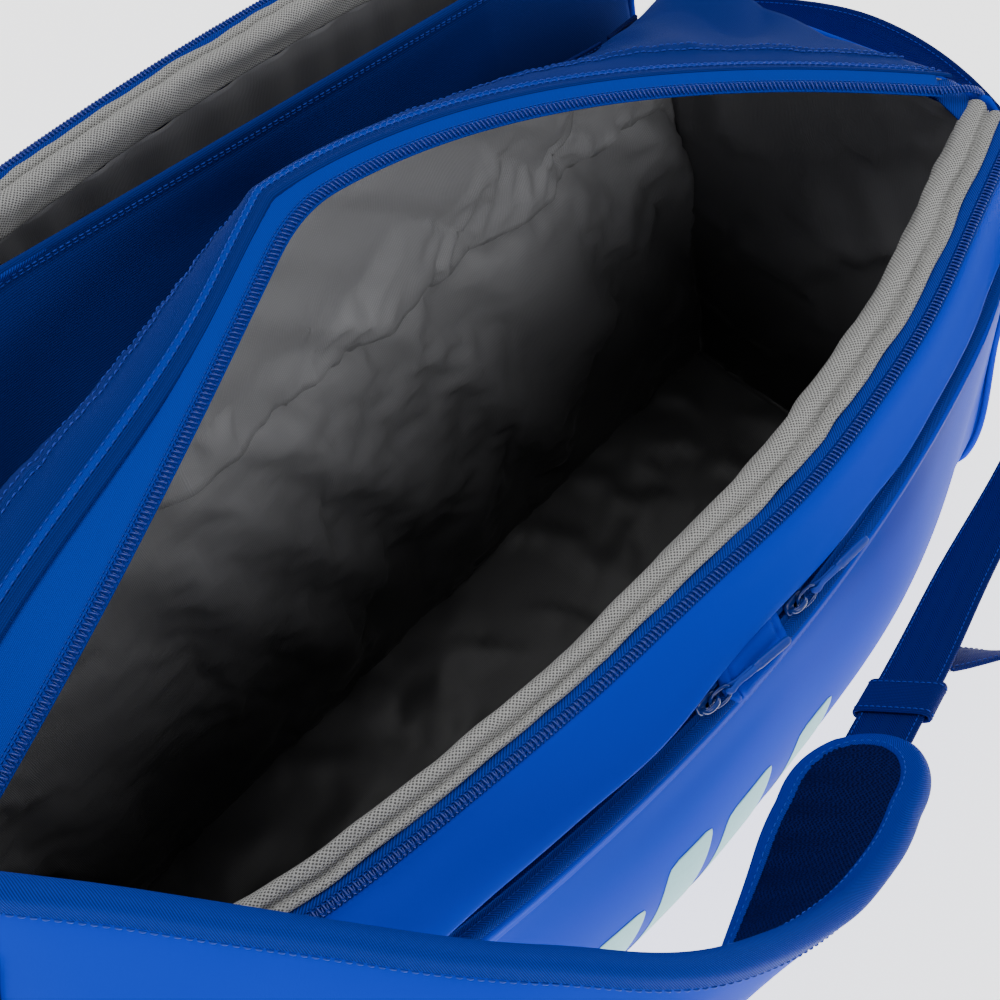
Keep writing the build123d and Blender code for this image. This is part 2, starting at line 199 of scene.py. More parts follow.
def lengths(rows, axis):
    steps = np.linalg.norm(np.diff(rows, axis=axis), axis=-1)
    start = np.zeros_like(np.take(steps, [0], axis=axis))
    return np.concatenate([start, np.cumsum(steps, axis=axis)], axis=axis)


def field(u, v, seed, waves=14, low=20, high=90, stretch=1):
    """A smooth random field from -1 to 1 with wavelengths between low and high."""
    draw = np.random.default_rng(seed)
    total = 0
    for _ in range(waves):
        k = 2 * pi / draw.uniform(low, high)
        a, p = draw.uniform(0, 2 * pi, 2)
        total = total + np.sin(k * (u * cos(a) + v * sin(a) * stretch) + p)
    return total / (0.5 * waves ** 0.5) / 2


def ramp(x, low, high):
    t = np.clip((x - low) / (high - low), 0, 1)
    return t * t * (3 - 2 * t)


# ---------------------------------------------------------------- meshes
def mesh_object(name, verts, faces, material, body="bag", uvs=None, smooth=True):
    mesh = bpy.data.meshes.new(name)
    mesh.from_pydata((np.asarray(verts, float) * MM).tolist(), [], faces)
    if uvs is not None:
        layer = mesh.uv_layers.new(name="cloth")
        corner = np.empty(len(mesh.loops), dtype=np.int32)
        mesh.loops.foreach_get("vertex_index", corner)
        layer.data.foreach_set("uv", np.asarray(uvs, np.float32)[corner].ravel())
    mesh.materials.append(material)
    if smooth:
        mesh.shade_smooth()
    obj = bpy.data.objects.new(name, mesh)
    bpy.context.collection.objects.link(obj)
    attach(obj, body)
    return obj


def grid_faces(nu, nv, wrap=False):
    i, j = np.meshgrid(np.arange(nu - 1), np.arange(nv if wrap else nv - 1), indexing="ij")
    k = (j + 1) % nv
    quads = np.stack([i * nv + j, (i + 1) * nv + j, (i + 1) * nv + k, i * nv + k], axis=-1)
    return quads.reshape(-1, 4).tolist()


def tube_faces(nu, nv):
    """Quads round nu rings of nv points, with a cap over each end."""
    caps = [list(range(nv - 1, -1, -1)), [(nu - 1) * nv + k for k in range(nv)]]
    return grid_faces(nu, nv, wrap=True) + caps


def cloth(name, rows, material, thick, body="bag", flip=False):
    """One layer of cloth from a grid of points, with its own thickness and millimetre UVs."""
    if flip:
        rows = rows[:, ::-1]
    nu, nv = rows.shape[:2]
    u = lengths(rows, 0)[:, nv // 2][:, None] * np.ones((1, nv))
    v = lengths(rows, 1)
    obj = mesh_object(name, rows.reshape(-1, 3), grid_faces(nu, nv), material, body,
                      np.stack([u, v], axis=-1).reshape(-1, 2))
    if thick:
        solid = obj.modifiers.new("thickness", "SOLIDIFY")
        solid.thickness = thick * MM
        solid.offset = -1
    return obj


def sweep(name, path, across, out, section, material, body="bag", closed=True, loop=False):
    """A section of (across, out) points carried along a path. section may also be (n, m, 2)."""
    across, out = np.broadcast_to(across, path.shape), np.broadcast_to(out, path.shape)
    section = np.asarray(section, float)
    if section.ndim == 2:
        section = np.broadcast_to(section, (len(path),) + section.shape)
    rows = path[:, None] + across[:, None] * section[..., :1] + out[:, None] * section[..., 1:]
    if loop:
        rows = np.concatenate([rows, rows[:1]])
    if closed:
        rows = np.concatenate([rows, rows[:, :1]], axis=1)
    nu, nv = rows.shape[:2]
    u = lengths(rows, 0)[:, nv // 2][:, None] * np.ones((1, nv))
    faces = grid_faces(nu, nv)
    if closed and not loop:
        faces += [list(range(nv - 2, -1, -1)), [(nu - 1) * nv + k for k in range(nv - 1)]]
    uvs = np.stack([u, lengths(rows, 1)], axis=-1).reshape(-1, 2)
    return mesh_object(name, rows.reshape(-1, 3), faces, material, body, uvs)


def tube_points(path, radius, sides, guide):
    """Points of a round tube along a path. guide is a direction the path never runs along."""
    run = unit(np.gradient(path, axis=0))
    one = unit(np.cross(run, np.broadcast_to(guide, path.shape)))
    two = np.cross(run, one)
    angle = np.linspace(0, 2 * pi, sides, endpoint=False)
    radius = np.broadcast_to(np.asarray(radius, float), (len(path),))[:, None, None]
    ring = one[:, None] * np.cos(angle)[None, :, None] + two[:, None] * np.sin(angle)[None, :, None]
    return path[:, None] + radius * ring


def tube(name, path, radius, material, body="bag", sides=8, guide=(0, 0, 1), loop=False):
    if loop:
        path = np.concatenate([path[-1:], path, path[:2]])
    rows = tube_points(path, radius, sides, guide)
    if loop:
        rows = rows[1:-1]
    faces = grid_faces(len(rows), sides, wrap=True) if loop else tube_faces(len(rows), sides)
    return mesh_object(name, rows.reshape(-1, 3), faces, material, body)


def resample(path, step, *others):
    """The path at even steps, with any arrays that go with it."""
    s = np.concatenate([[0], np.cumsum(np.linalg.norm(np.diff(path, axis=0), axis=1))])
    at = np.linspace(0, s[-1], max(int(round(s[-1] / step)), 1) + 1)
    found = [np.stack([np.interp(at, s, one[:, k]) for k in range(one.shape[1])], axis=1)
             for one in (path,) + others]
    return found if others else found[0]


def coil(name, path, across, out, wide, high, material, body="bag", pitch=2.2, wire=0.5):
    """Open half of a coil zipper: one helix of filament, squared off at the tooth heads."""
    across, out = np.broadcast_to(across, path.shape), np.broadcast_to(out, path.shape)
    path, across, out = resample(path, pitch / 14, across, out)
    angle = np.arange(len(path)) * 2 * pi / 14
    square = np.sign(np.cos(angle)) * np.abs(np.cos(angle)) ** 0.6
    line = path + across * (square * (wide / 2 - wire))[:, None]
    line = line + out * (np.sin(angle) * (high / 2 - wire))[:, None]
    return tube(name, line, wire, material, body, 6, unit(path[-1] - path[0]))


STITCHES = {}


def stitch(path, out, material, body="bag", pitch=3.6, long=2.7, thick=0.42, lift=0.15):
    """A row of thread stitches along a path, standing out of the cloth. All are built together at the end."""
    path, out = resample(path, pitch, np.broadcast_to(out, path.shape))
    out = unit(out)
    run = unit(np.gradient(path, axis=0))
    side = unit(np.cross(out, run))
    along = np.array([-0.5, -0.36, 0, 0.36, 0.5]) * long
    fat = np.array([0.25, 0.8, 1, 0.8, 0.25]) * thick
    sunk = np.array([-0.5, 0, 0.35, 0, -0.5]) * thick
    angle = np.linspace(0, 2 * pi, 6, endpoint=False)
    ring = side[:, None, None] * np.cos(angle)[None, None, :, None]
    ring = ring + out[:, None, None] * np.sin(angle)[None, None, :, None]
    core = path[:, None] + run[:, None] * along[None, :, None]
    core = core + out[:, None] * (sunk + lift)[None, :, None]
    STITCHES.setdefault((body, material.name), []).append(core[:, :, None] + ring * fat[None, :, None, None])


def build_stitches():
    for (body, name), groups in STITCHES.items():
        rings = np.concatenate(groups)
        one = np.array(grid_faces(5, 6, wrap=True))
        faces = (one[None] + 30 * np.arange(len(rings))[:, None, None]).reshape(-1, 4).tolist()
        mesh_object(f"stitches_{body}_{name}", rings.reshape(-1, 3), faces, bpy.data.materials[name], body)


# ---------------------------------------------------------------- cloth simulation
SETTLE_FRAMES = 16
STIFFNESS = 12


def settle(rows, grow, pinned, toward, cap, seed):
    """Lets a sheet buckle: it grows between its pinned edges, and moves at most cap towards one side."""
    nu, nv = rows.shape[:2]
    start = rows + toward * (0.25 * field(lengths(rows, 0), lengths(rows, 1), seed, low=12, high=50)
                             * (1 - pinned))[..., None]
    mesh = bpy.data.meshes.new("buckling")
    mesh.from_pydata((start.reshape(-1, 3) * MM).tolist(), [], grid_faces(nu, nv))
    obj = bpy.data.objects.new("buckling", mesh)
    bpy.context.collection.objects.link(obj)
    group = obj.vertex_groups.new(name="pin")
    for value in np.unique(np.round(pinned, 2)):
        if value > 0:
            members = np.nonzero(np.isclose(np.round(pinned.ravel(), 2), value))[0]
            group.add(members.tolist(), float(value), "REPLACE")
    sim = obj.modifiers.new("cloth", "CLOTH")
    sim.settings.vertex_group_mass = "pin"
    sim.settings.quality = 5
    sim.settings.mass = 0.15
    sim.settings.tension_stiffness = STIFFNESS
    sim.settings.compression_stiffness = STIFFNESS
    sim.settings.shear_stiffness = STIFFNESS / 3
    sim.settings.bending_stiffness = 0.35
    sim.settings.air_damping = 2
    sim.settings.shrink_min = -grow
    sim.settings.effector_weights.gravity = 0
    sim.point_cache.frame_start = 1
    sim.point_cache.frame_end = SETTLE_FRAMES
    for step in range(1, SETTLE_FRAMES + 1):
        bpy.context.scene.frame_set(step)
    depsgraph = bpy.context.evaluated_depsgraph_get()
    result = obj.evaluated_get(depsgraph).to_mesh()
    found = np.empty(nu * nv * 3, np.float32)
    result.vertices.foreach_get("co", found)
    obj.evaluated_get(depsgraph).to_mesh_clear()
    bpy.data.objects.remove(obj)
    bpy.data.meshes.remove(mesh)
    bpy.context.scene.frame_set(1)
    move = found.reshape(nu, nv, 3) / MM - rows
    depth = np.sum(move * toward, axis=-1)
    slide = move - toward * depth[..., None]
    slide *= np.minimum(1, 2.5 / np.maximum(np.linalg.norm(slide, axis=-1, keepdims=True), 1e-6))
    depth = np.clip(cap * np.tanh(depth / cap), -0.4, cap)
    return rows + slide + toward * depth[..., None]


def edges_pinned(rows):
    """1 along all four edges of a grid, 0 elsewhere."""
    pinned = np.ones(rows.shape[:2])
    pinned[1:-1, 1:-1] = 0
    return pinned


# ---------------------------------------------------------------- materials
class Graph:
    """A node material being built. Patterns read the cloth's own UVs, which are in millimetres."""

    def __init__(self, name, colour, roughness, **sockets):
        self.material = bpy.data.materials.new(name)
        self.material.use_nodes = True
        self.tree = self.material.node_tree
        self.shader = self.tree.nodes["Principled BSDF"]
        self.shader.inputs["Base Color"].default_value = (*colour, 1)
        self.shader.inputs["Roughness"].default_value = roughness
        for key, value in sockets.items():
            self.shader.inputs[key.replace("_", " ")].default_value = value
        self.colour = colour

    def put(self, socket, value):
        if isinstance(value, bpy.types.NodeSocket):
            self.tree.links.new(value, socket)
        else:
            socket.default_value = value

    def node(self, kind, **values):
        made = self.tree.nodes.new(kind)
        for key, value in values.items():
            setattr(made, key, value)
        return made

    def math(self, operation, a, b=0.0, c=0.0):
        made = self.node("ShaderNodeMath", operation=operation)
        for socket, value in zip(made.inputs, (a, b, c)):
            self.put(socket, value)
        return made.outputs[0]

    def uv(self):
        split = self.node("ShaderNodeSeparateXYZ")
        self.tree.links.new(self.node("ShaderNodeUVMap", uv_map="cloth").outputs[0], split.inputs[0])
        return split.outputs[0], split.outputs[1]

    def wave(self, x, pitch, power=1.0):
        """A ridge pattern from 0 to 1, repeating every pitch millimetres along x."""
        turned = self.math("SINE", self.math("MULTIPLY", x, 2 * pi / pitch))
        half = self.math("MULTIPLY_ADD", turned, 0.5, 0.5)
        return self.math("POWER", half, power) if power != 1 else half

    def mix(self, factor, a, b):
        made = self.node("ShaderNodeMix", data_type="RGBA")
        self.put(made.inputs[0], factor)
        for socket, value in ((made.inputs[6], a), (made.inputs[7], b)):
            self.put(socket, value if isinstance(value, bpy.types.NodeSocket) else (*value, 1))
        return made.outputs[2]

    def noise(self, scale, detail=3.0, stretch=None):
        made = self.node("ShaderNodeTexNoise")
        made.inputs["Scale"].default_value = scale
        made.inputs["Detail"].default_value = detail
        coords = self.node("ShaderNodeTexCoord").outputs["Object"]
        if stretch:
            mapping = self.node("ShaderNodeMapping")
            mapping.inputs["Scale"].default_value = stretch
            self.tree.links.new(coords, mapping.inputs[0])
            coords = mapping.outputs[0]
        self.tree.links.new(coords, made.inputs["Vector"])
        return made.outputs[0]

    def bump(self, height, distance, strength=1.0, under=None):
        made = self.node("ShaderNodeBump")
        made.inputs["Strength"].default_value = strength
        made.inputs["Distance"].default_value = distance * MM
        self.put(made.inputs["Height"], height)
        if under is not None:
            self.tree.links.new(under, made.inputs["Normal"])
        return made.outputs[0]

    def finish(self, colour=None, normal=None, roughness=None):
        for socket, value in (("Base Color", colour), ("Normal", normal), ("Roughness", roughness)):
            if value is not None:
                self.put(self.shader.inputs[socket], value)
        return self.material


def shade(colour, factor):
    return tuple(c * factor for c in colour)


def woven(name, colour, rib, fill, depth, roughness=0.8, sheen=0.02, wear=0.12):
    """Plain weave: warp ribs across, weft bumps along, slightly uneven colour."""
    g = Graph(name, colour, roughness, Sheen_Weight=sheen, Sheen_Roughness=0.5, Specular_IOR_Level=0.08)
    u, v = g.uv()
    warp = g.wave(v, rib, 0.7)
    shift = g.math("MULTIPLY", g.math("FLOOR", g.math("DIVIDE", v, rib)), fill / 2)
    weft = g.wave(g.math("ADD", u, shift), fill)
    height = g.math("MULTIPLY", warp, g.math("MULTIPLY_ADD", weft, 0.45, 0.55))
    tone = g.mix(height, shade(colour, 0.55), shade(colour, 1.15))
    tone = g.mix(g.math("MULTIPLY", g.noise(9.0), wear * 2), tone, shade(colour, 0.6))
    return g.finish(tone, g.bump(height, depth))


def satin(name, colour, roughness=0.42):
    """Shiny lining: fine warp lines, a soft sheen, and painted shade that darkens it towards the bottom of
    the bag.
    """
    g = Graph(name, colour, roughness, Sheen_Weight=0.15, Sheen_Roughness=0.3, Anisotropic=0.5,
              Specular_IOR_Level=0.45)
    u, v = g.uv()
    lines = g.math("MULTIPLY", g.wave(u, 0.9), g.math("MULTIPLY_ADD", g.wave(v, 1.7), 0.3, 0.7))
    tone = g.mix(lines, shade(colour, 0.82), shade(colour, 1.06))
    tone = g.mix(g.math("MULTIPLY", g.noise(7.0), 0.3), tone, shade(colour, 0.75))
    # Painted shade: below 0.05 m height the colour falls to 7 % of itself, blending back to full by 0.26 m,
    # in place of the shadow deep in the compartments.
    split = g.node("ShaderNodeSeparateXYZ")
    g.tree.links.new(g.node("ShaderNodeTexCoord").outputs["Object"], split.inputs[0])
    low = g.node("ShaderNodeMapRange", interpolation_type="SMOOTHSTEP")
    g.put(low.inputs[0], split.outputs[2])
    for index, value in ((1, 0.05), (2, 0.26), (3, 1.0), (4, 0.0)):
        low.inputs[index].default_value = value
    tone = g.mix(low.outputs[0], tone, shade(colour, 0.07))
    return g.finish(tone, g.bump(lines, 0.12))


def twill(name, colour, pitch=1.0, slant=1.0, depth=0.22, roughness=0.6):
    """Tape with diagonal ridges."""
    g = Graph(name, colour, roughness, Specular_IOR_Level=0.12)
    u, v = g.uv()
    ridge = g.wave(g.math("ADD", u, g.math("MULTIPLY", v, slant)), pitch, 0.8)
    tone = g.mix(ridge, shade(colour, 0.4), shade(colour, 1.2))
    return g.finish(tone, g.bump(ridge, depth))


def herringbone(name, colour, stripe, pitch=1.5, depth=0.3, roughness=0.62):
    """Diagonal ridges that turn back at every stripe across the width."""
    g = Graph(name, colour, roughness, Specular_IOR_Level=0.12)
    u, v = g.uv()
    fold = g.math("PINGPONG", v, stripe)
    ridge = g.wave(g.math("ADD", u, g.math("MULTIPLY", fold, 1.3)), pitch, 0.8)
    cross = g.wave(v, 0.8)
    height = g.math("MULTIPLY", ridge, g.math("MULTIPLY_ADD", cross, 0.25, 0.75))
    tone = g.mix(height, shade(colour, 0.42), shade(colour, 1.2))
    return g.finish(tone, g.bump(height, depth))


def air_mesh(name, colour, hole, pitch, depth=0.5, dark=0.12, roughness=0.85):
    """Spacer mesh: a knitted face with rows of small holes."""
    g = Graph(name, colour, roughness, Specular_IOR_Level=0.1)
    u, v = g.uv()
    point = g.node("ShaderNodeCombineXYZ")
    g.put(point.inputs[0], g.math("DIVIDE", g.math("ADD", u, v), pitch))
    g.put(point.inputs[1], g.math("DIVIDE", g.math("SUBTRACT", u, g.math("MULTIPLY", v, 1.15)), pitch))
    cells = g.node("ShaderNodeTexVoronoi", voronoi_dimensions="2D")
    cells.inputs["Scale"].default_value = 1.0
    cells.inputs["Randomness"].default_value = 0.12
    g.tree.links.new(point.outputs[0], cells.inputs["Vector"])
    solid = g.node("ShaderNodeMapRange", interpolation_type="SMOOTHSTEP")
    g.put(solid.inputs[0], cells.outputs["Distance"])
    solid.inputs[1].default_value = hole * 0.75
    solid.inputs[2].default_value = hole * 1.35
    yarn = g.wave(g.math("ADD", v, g.math("MULTIPLY", u, 0.2)), 0.55)
    height = g.math("MULTIPLY_ADD", yarn, 0.15, g.math("MULTIPLY", solid.outputs[0], 0.85))
    tone = g.mix(solid.outputs[0], shade(colour, dark), g.mix(yarn, shade(colour, 0.85), colour))
    return g.finish(tone, g.bump(height, depth))


def coated(name, colour, roughness=0.5, grain=0.05):
    """Smooth coated cloth with a very fine grain."""
    g = Graph(name, colour, roughness, Specular_IOR_Level=0.04)
    fine = g.noise(1600.0, 2.0)
    cloudy = g.noise(5.0, 2.0)
    tone = g.mix(g.math("MULTIPLY", cloudy, 0.25), colour, shade(colour, 0.82))
    rough = g.math("MULTIPLY_ADD", cloudy, 0.16, roughness - 0.08)
    soft = g.bump(g.noise(28.0, 2.0), 0.5, 0.5)
    return g.finish(tone, g.bump(fine, grain, 1.0, soft), rough)


def plain(name, colour, roughness, **sockets):
    g = Graph(name, colour, roughness, **sockets)
    return g.finish(g.mix(g.noise(300.0), colour, shade(colour, 0.85)), g.bump(g.noise(900.0), 0.04))


BLUE_PU = (0.0, 0.040, 0.62)
BLUE_CLOTH = (0.001, 0.026, 0.27)
BLUE_TWILL = (0.001, 0.036, 0.42)
BLUE_WEB = (0.001, 0.011, 0.19)
PU = coated("pu_blue", BLUE_PU)
RIBBED = woven("polyester_ribbed", BLUE_CLOTH, 1.1, 0.9, 0.16)
SATIN = satin("lining_satin", (0.52, 0.52, 0.54))
# Painted shade: a darker copy of the lining satin for compartment A's end linings, standing in for the shadow
# on them.
SHADED_END_SATIN = satin("lining_satin_ends", (0.22, 0.22, 0.235))
# Painted shade: a near-black satin for the sheet in the recess under the front band's lip, standing in for
# the shadow there.
RECESS_SHADE_LINING = satin("lining_dark", (0.035, 0.035, 0.038), 0.55)
TAPE = twill("twill_tape", BLUE_TWILL, 1.5, 1.0)
BINDING = twill("twill_binding", (0.0, 0.034, 0.42), 1.0, 1.0, 0.16)
SMOOTH_TAPE = woven("zipper_tape_smooth", (0.0, 0.05, 0.55), 0.7, 0.8, 0.06, 0.6, 0.0, 0.05)
ZIP_TAPE = herringbone("zipper_tape", (0.001, 0.040, 0.45), 3.0, 1.4, 0.25)
WEBBING = herringbone("webbing_herringbone", BLUE_WEB, 3.75, 1.5, 0.28)
PLAIN_WEB = woven("webbing_plain", BLUE_WEB, 1.0, 1.4, 0.2, 0.65)
GREY_MESH = air_mesh("mesh_grey", (0.52, 0.52, 0.51), 0.28, 1.9, 0.4, 0.25)
NAVY_MESH = air_mesh("mesh_navy", (0.002, 0.008, 0.10), 0.30, 2.2, 0.35, 0.3, 0.7)
NYLON = plain("coil_nylon", (0.001, 0.028, 0.36), 0.35, Specular_IOR_Level=0.6)
THREAD = plain("thread_blue", (0.001, 0.045, 0.50), 0.6)
GREY_THREAD = plain("thread_grey", (0.50, 0.50, 0.50), 0.6)
ENAMEL = plain("enamel_blue", (0.003, 0.03, 0.26), 0.22, Coat_Weight=0.6, Coat_Roughness=0.08)
GRIP = plain("grip_rubber", (0.001, 0.04, 0.42), 0.45)
PRINT = plain("print_pale", (0.38, 0.80, 0.82), 0.5)
BOARD = plain("board_black", (0.02, 0.02, 0.022), 0.8)


# ---------------------------------------------------------------- placing things on cloth
def line_on(rows, distance, side="end"):
    """Points and outward directions of a line drawn on a grid, a distance from its last or first column."""
    use = rows[:, ::-1] if side == "end" else rows
    s = lengths(use, 1)
    out = normals(rows)
    out = out[:, ::-1] if side == "end" else out
    points = np.empty((len(rows), 3))
    directions = np.empty((len(rows), 3))
    for k in range(3):
        for i in range(len(rows)):
            points[i, k] = np.interp(distance, s[i], use[i, :, k])
            directions[i, k] = np.interp(distance, s[i], out[i, :, k])
    return points, unit(directions)


def eased(values, width=25):
    """The values smoothed by a moving average, with their ends kept."""
    padded = np.pad(values, width // 2, mode="reflect", reflect_type="odd")
    return np.convolve(padded, np.ones(width) / width, "valid")


def mouth_xs(reach=MOUTH_REACH, step=2.0):
    return np.linspace(-reach, reach, int(2 * reach / step) + 1)


def sway(x):
    """Small unevenness that all the strips of the front rim share: sideways and up."""
    return 0.9 * np.sin(x / 47 + 1) + 0.5 * np.sin(x / 19), 0.8 * np.sin(x / 61 + 2) + 0.4 * np.sin(x / 27)


def frames(path):
    """Across and outward directions of a path that runs along the bag."""
    run = unit(np.gradient(path, axis=0))
    across = unit(np.cross(np.broadcast_to((0.0, 0.0, 1.0), path.shape), run))
    return across, unit(np.cross(run, across))


def squared(path, across):
    """The across directions, square to the bag near its ends, where wide strips then stop flush."""
    flush = across.copy()
    flush[:, 0] *= ramp(-np.abs(path[:, 0]), -MOUTH_REACH, -230)
    return flush


def moved(path, across, out, a, b):
    return path + across * np.asarray(a)[..., None] + out * np.asarray(b)[..., None]


def rounded_section(points, count=32):
    """A smooth closed section through a few points."""
    closed = list(points) + [points[0], points[1]]
    return spline([points[-1]] + closed, np.linspace(0, 1, count + 14))[5:-6]


def lozenge(reach, flat, high, count):
    """A soft flat section: reach to its side edges, flat half-width, high half-thickness."""
    points = [(-reach, 0), (-flat, high), (flat, high), (reach, 0), (flat, -high), (-flat, -high)]
    return rounded_section(points, count)


# ---------------------------------------------------------------- base
def base_outline(inset, count=14):
    x, y, r = 350 - inset, 156 - inset, 45 - inset
    points = []
    for cx, cy, start in ((x - r, y - r, 0), (r - x, y - r, 90), (r - x, r - y, 180), (x - r, r - y, 270)):
        for angle in np.radians(np.linspace(start, start + 90, count)):
            points.append((cx + r * cos(angle), cy + r * sin(angle)))
    return np.array(points)


rings = [(7, 0.0), (2, 0.0), (0.4, 0.7), (0, 2.0), (0.4, 3.8), (3, 5.0), (20, 5.2)]
base_rows = np.array([np.column_stack([base_outline(i), np.full(56, z)]) for i, z in rings])
base = mesh_object("base_panel_cloth", base_rows.reshape(-1, 3), tube_faces(len(rings), 56), PU)
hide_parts("base_panel")
welt_path = np.column_stack([base_outline(1.5, 20), np.full(80, 6.4)])
welt_path = resample(np.concatenate([welt_path, welt_path[:1]]), 4)[:-1]
tube("base_welt", welt_path, 2.3, PU, loop=True)



def round_foot(points, radius=42.5):
    """Draws the walls in near the floor so that they follow the base's rounded corners."""
    x, y, z = points[..., 0], points[..., 1], points[..., 2]
    over_x, over_y = np.maximum(np.abs(x) - 305, 0), np.maximum(np.abs(y) - 111, 0)
    reach = np.hypot(over_x, over_y)
    pull = (1 - np.minimum(1, radius / np.maximum(reach, 1))) * ramp(-z, -75, -8)
    pull = pull * (over_x > 0) * (over_y > 0)
    result = points.copy()
    result[..., 0] = x - np.sign(x) * over_x * pull
    result[..., 1] = y - np.sign(y) * over_y * pull
    return result


# ---------------------------------------------------------------- outer panels
front_rows = wall_grid(pocket_line, 0)
u, v = lengths(front_rows, 0), lengths(front_rows, 1)
soft = 1.3 * field(u, v, 3, low=90, high=260) + 0.35 * field(u, v, 4, low=30, high=70) * ramp(v, 140, 0)
front_rows += normals(front_rows) * (soft * ramp(v, 0, 12) * ramp(-v, -v.max(), -v.max() + 20))[..., None]
front_rows = round_foot(front_rows)
front_panel = cloth("front_panel", front_rows, PU, 2.2)
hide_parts("front_pocket_panel")


def rear_shape(x):
    top = rear_y(x)
    return [(top + 9.5, 328.3), (top + 11.5, 323), (top + 8, 305), (top + 7, 262), (top + 8, 200),
            (200, 85), (153, WALL_FOOT + 1.5)]


rear_rows = wall_grid(rear_shape, 0)
u, v = lengths(rear_rows, 0), lengths(rear_rows, 1)
soft = 1.5 * field(u, v, 5, low=90, high=240) + 0.4 * field(u, v, 6, low=30, high=70)
rear_rows += normals(rear_rows) * (soft * ramp(v, 20, 60) * ramp(-v, -v.max(), -v.max() + 20))[..., None]
rear_rows = round_foot(rear_rows)
rear_panel = cloth("rear_panel_cloth", rear_rows, PU, 2.4)
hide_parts("rear_panel")

divider_a = cloth("divider_a_cloth", wall_grid(wall_a_line, 0), RIBBED, 4.4, flip=True)
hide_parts("divider_wall_a")
divider_b = cloth("divider_b_cloth", wall_grid(wall_b_line, 0), RIBBED, 4.4, flip=True)
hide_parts("divider_wall_b")


def spine_line(x):
    return [(SPINE_Y - 15, SPINE_Z + 0.6), (SPINE_Y - 5, SPINE_Z - 0.6), (SPINE_Y + 5, SPINE_Z - 0.6),
            (SPINE_Y + 15, SPINE_Z + 0.6)]


spine = cloth("spine_cloth", wall_grid(spine_line, 0), RIBBED, 1.6)
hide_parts("spine_panel")

# Compartment A's rear gusset: folded edge over the zipper tape, a sewn crease behind it.
def flap_back(x):
    """How far the folded cloth stops short of the flap's edge, leaving the zipper tape bare."""
    return 2 + 15 * flap_fold(x)


flap_xs = np.linspace(-SIDE_REACH, SIDE_REACH, 227)
flap_rows = np.empty((227, 62, 3))
for i, x in enumerate(flap_xs):
    outline = shifted(flap_line(x), 0.5)
    whole = np.sum(np.linalg.norm(np.diff(np.array(outline), axis=0), axis=1))
    flap_rows[i, :, 0] = x
    flap_rows[i, :, 1:] = spline(outline, np.linspace(0, 1 - flap_back(x) / whole, 62))
run_on = []
tip = flap_rows[:, -1]
for reach_out, rise in ((1.8, 1.0), (3.6, 1.2), (4.8, 0.8), (5.2, 0.0)):
    run_on.append(tip + np.array([0.0, -reach_out, rise]))
flap_rows = np.concatenate([flap_rows, np.stack(run_on, axis=1)], axis=1)
u = lengths(flap_rows, 0)
v = lengths(flap_rows, 1)
from_edge = v[:, -1:] - v
flap_x = flap_rows[..., 0]
fold_at = 36 - 2 * ramp(flap_x, -60, 40)
lumps = 2.0 * field(u, v, 11, low=60, high=190) + 0.6 * field(u, v * 0.4, 12, low=25, high=60)
lumps = np.abs(lumps) * ramp(from_edge, 14, 45) * ramp(v, 0, 25)
pucker = 0.35 * np.sin(u / 2.1 + 2 * np.sin(u / 37)) * np.exp(-((from_edge - fold_at) / 7) ** 2)
crease = 1.3 * np.exp(-((from_edge - fold_at) / 2.6) ** 2) - 0.9 * np.exp(-((from_edge - 11) / 1.6) ** 2)
flap_rows += -normals(flap_rows) * (lumps + pucker + crease)[..., None]
flap = cloth("gusset_a", flap_rows, RIBBED, 1.4, flip=True)
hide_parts("top_flap_a")
for distance in (9.0, 12.6):
    points, out = line_on(flap_rows, distance)
    stitch(points - out * 0.2, -out, THREAD)
for extra in (-3.2, 3.2):
    near, out = line_on(flap_rows, 36 + extra)
    far, _ = line_on(flap_rows, 34 + extra)
    blend = ramp(near[:, :1], -60, 40)
    stitch((near * (1 - blend) + far * blend) - out * 0.3, -out, THREAD)

# Compartment B's inner gusset, with a folded and twice-stitched top edge.
inner_rows = wall_grid(inner_b_line, 0, across=2.5)
first = inner_rows[:, 0]
HEM = ((3.4, -3.0), (3.8, 0.6), (2.8, 2.6), (1.2, 3.0))
over = [first + np.array([0.0, out_y, up_z]) for out_y, up_z in HEM]
inner_rows = np.concatenate([np.stack(over, axis=1), inner_rows], axis=1)
u, v = lengths(inner_rows, 0), lengths(inner_rows, 1)
lumps = 2.0 * field(u, v, 21, low=60, high=200) * ramp(v, 18, 45) * ramp(-v, -v.max(), -v.max() + 20)
groove = -0.8 * np.exp(-((v - 15) / 1.8) ** 2) + 0.7 * np.exp(-((v - 9) / 4) ** 2)
inner_rows += -normals(inner_rows) * (lumps + groove)[..., None]
inner = cloth("gusset_b", inner_rows, RIBBED, 2.0, flip=True)
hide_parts("inner_panel_b")
for distance in (14.0, 15.6):
    points, out = line_on(inner_rows, distance, "start")
    stitch(points, -out, THREAD)


# ---------------------------------------------------------------- linings
def buckled(rows, grow, cap, seed, inward):
    """A lining sewn along its edges, with a little more cloth than the wall it covers."""
    return settle(rows, grow, edges_pinned(rows), inward, cap, seed=seed)


def flap_lining_line(x):
    return [(95.5, 229), (98.5, 244)] + flap_line(x)[1:]


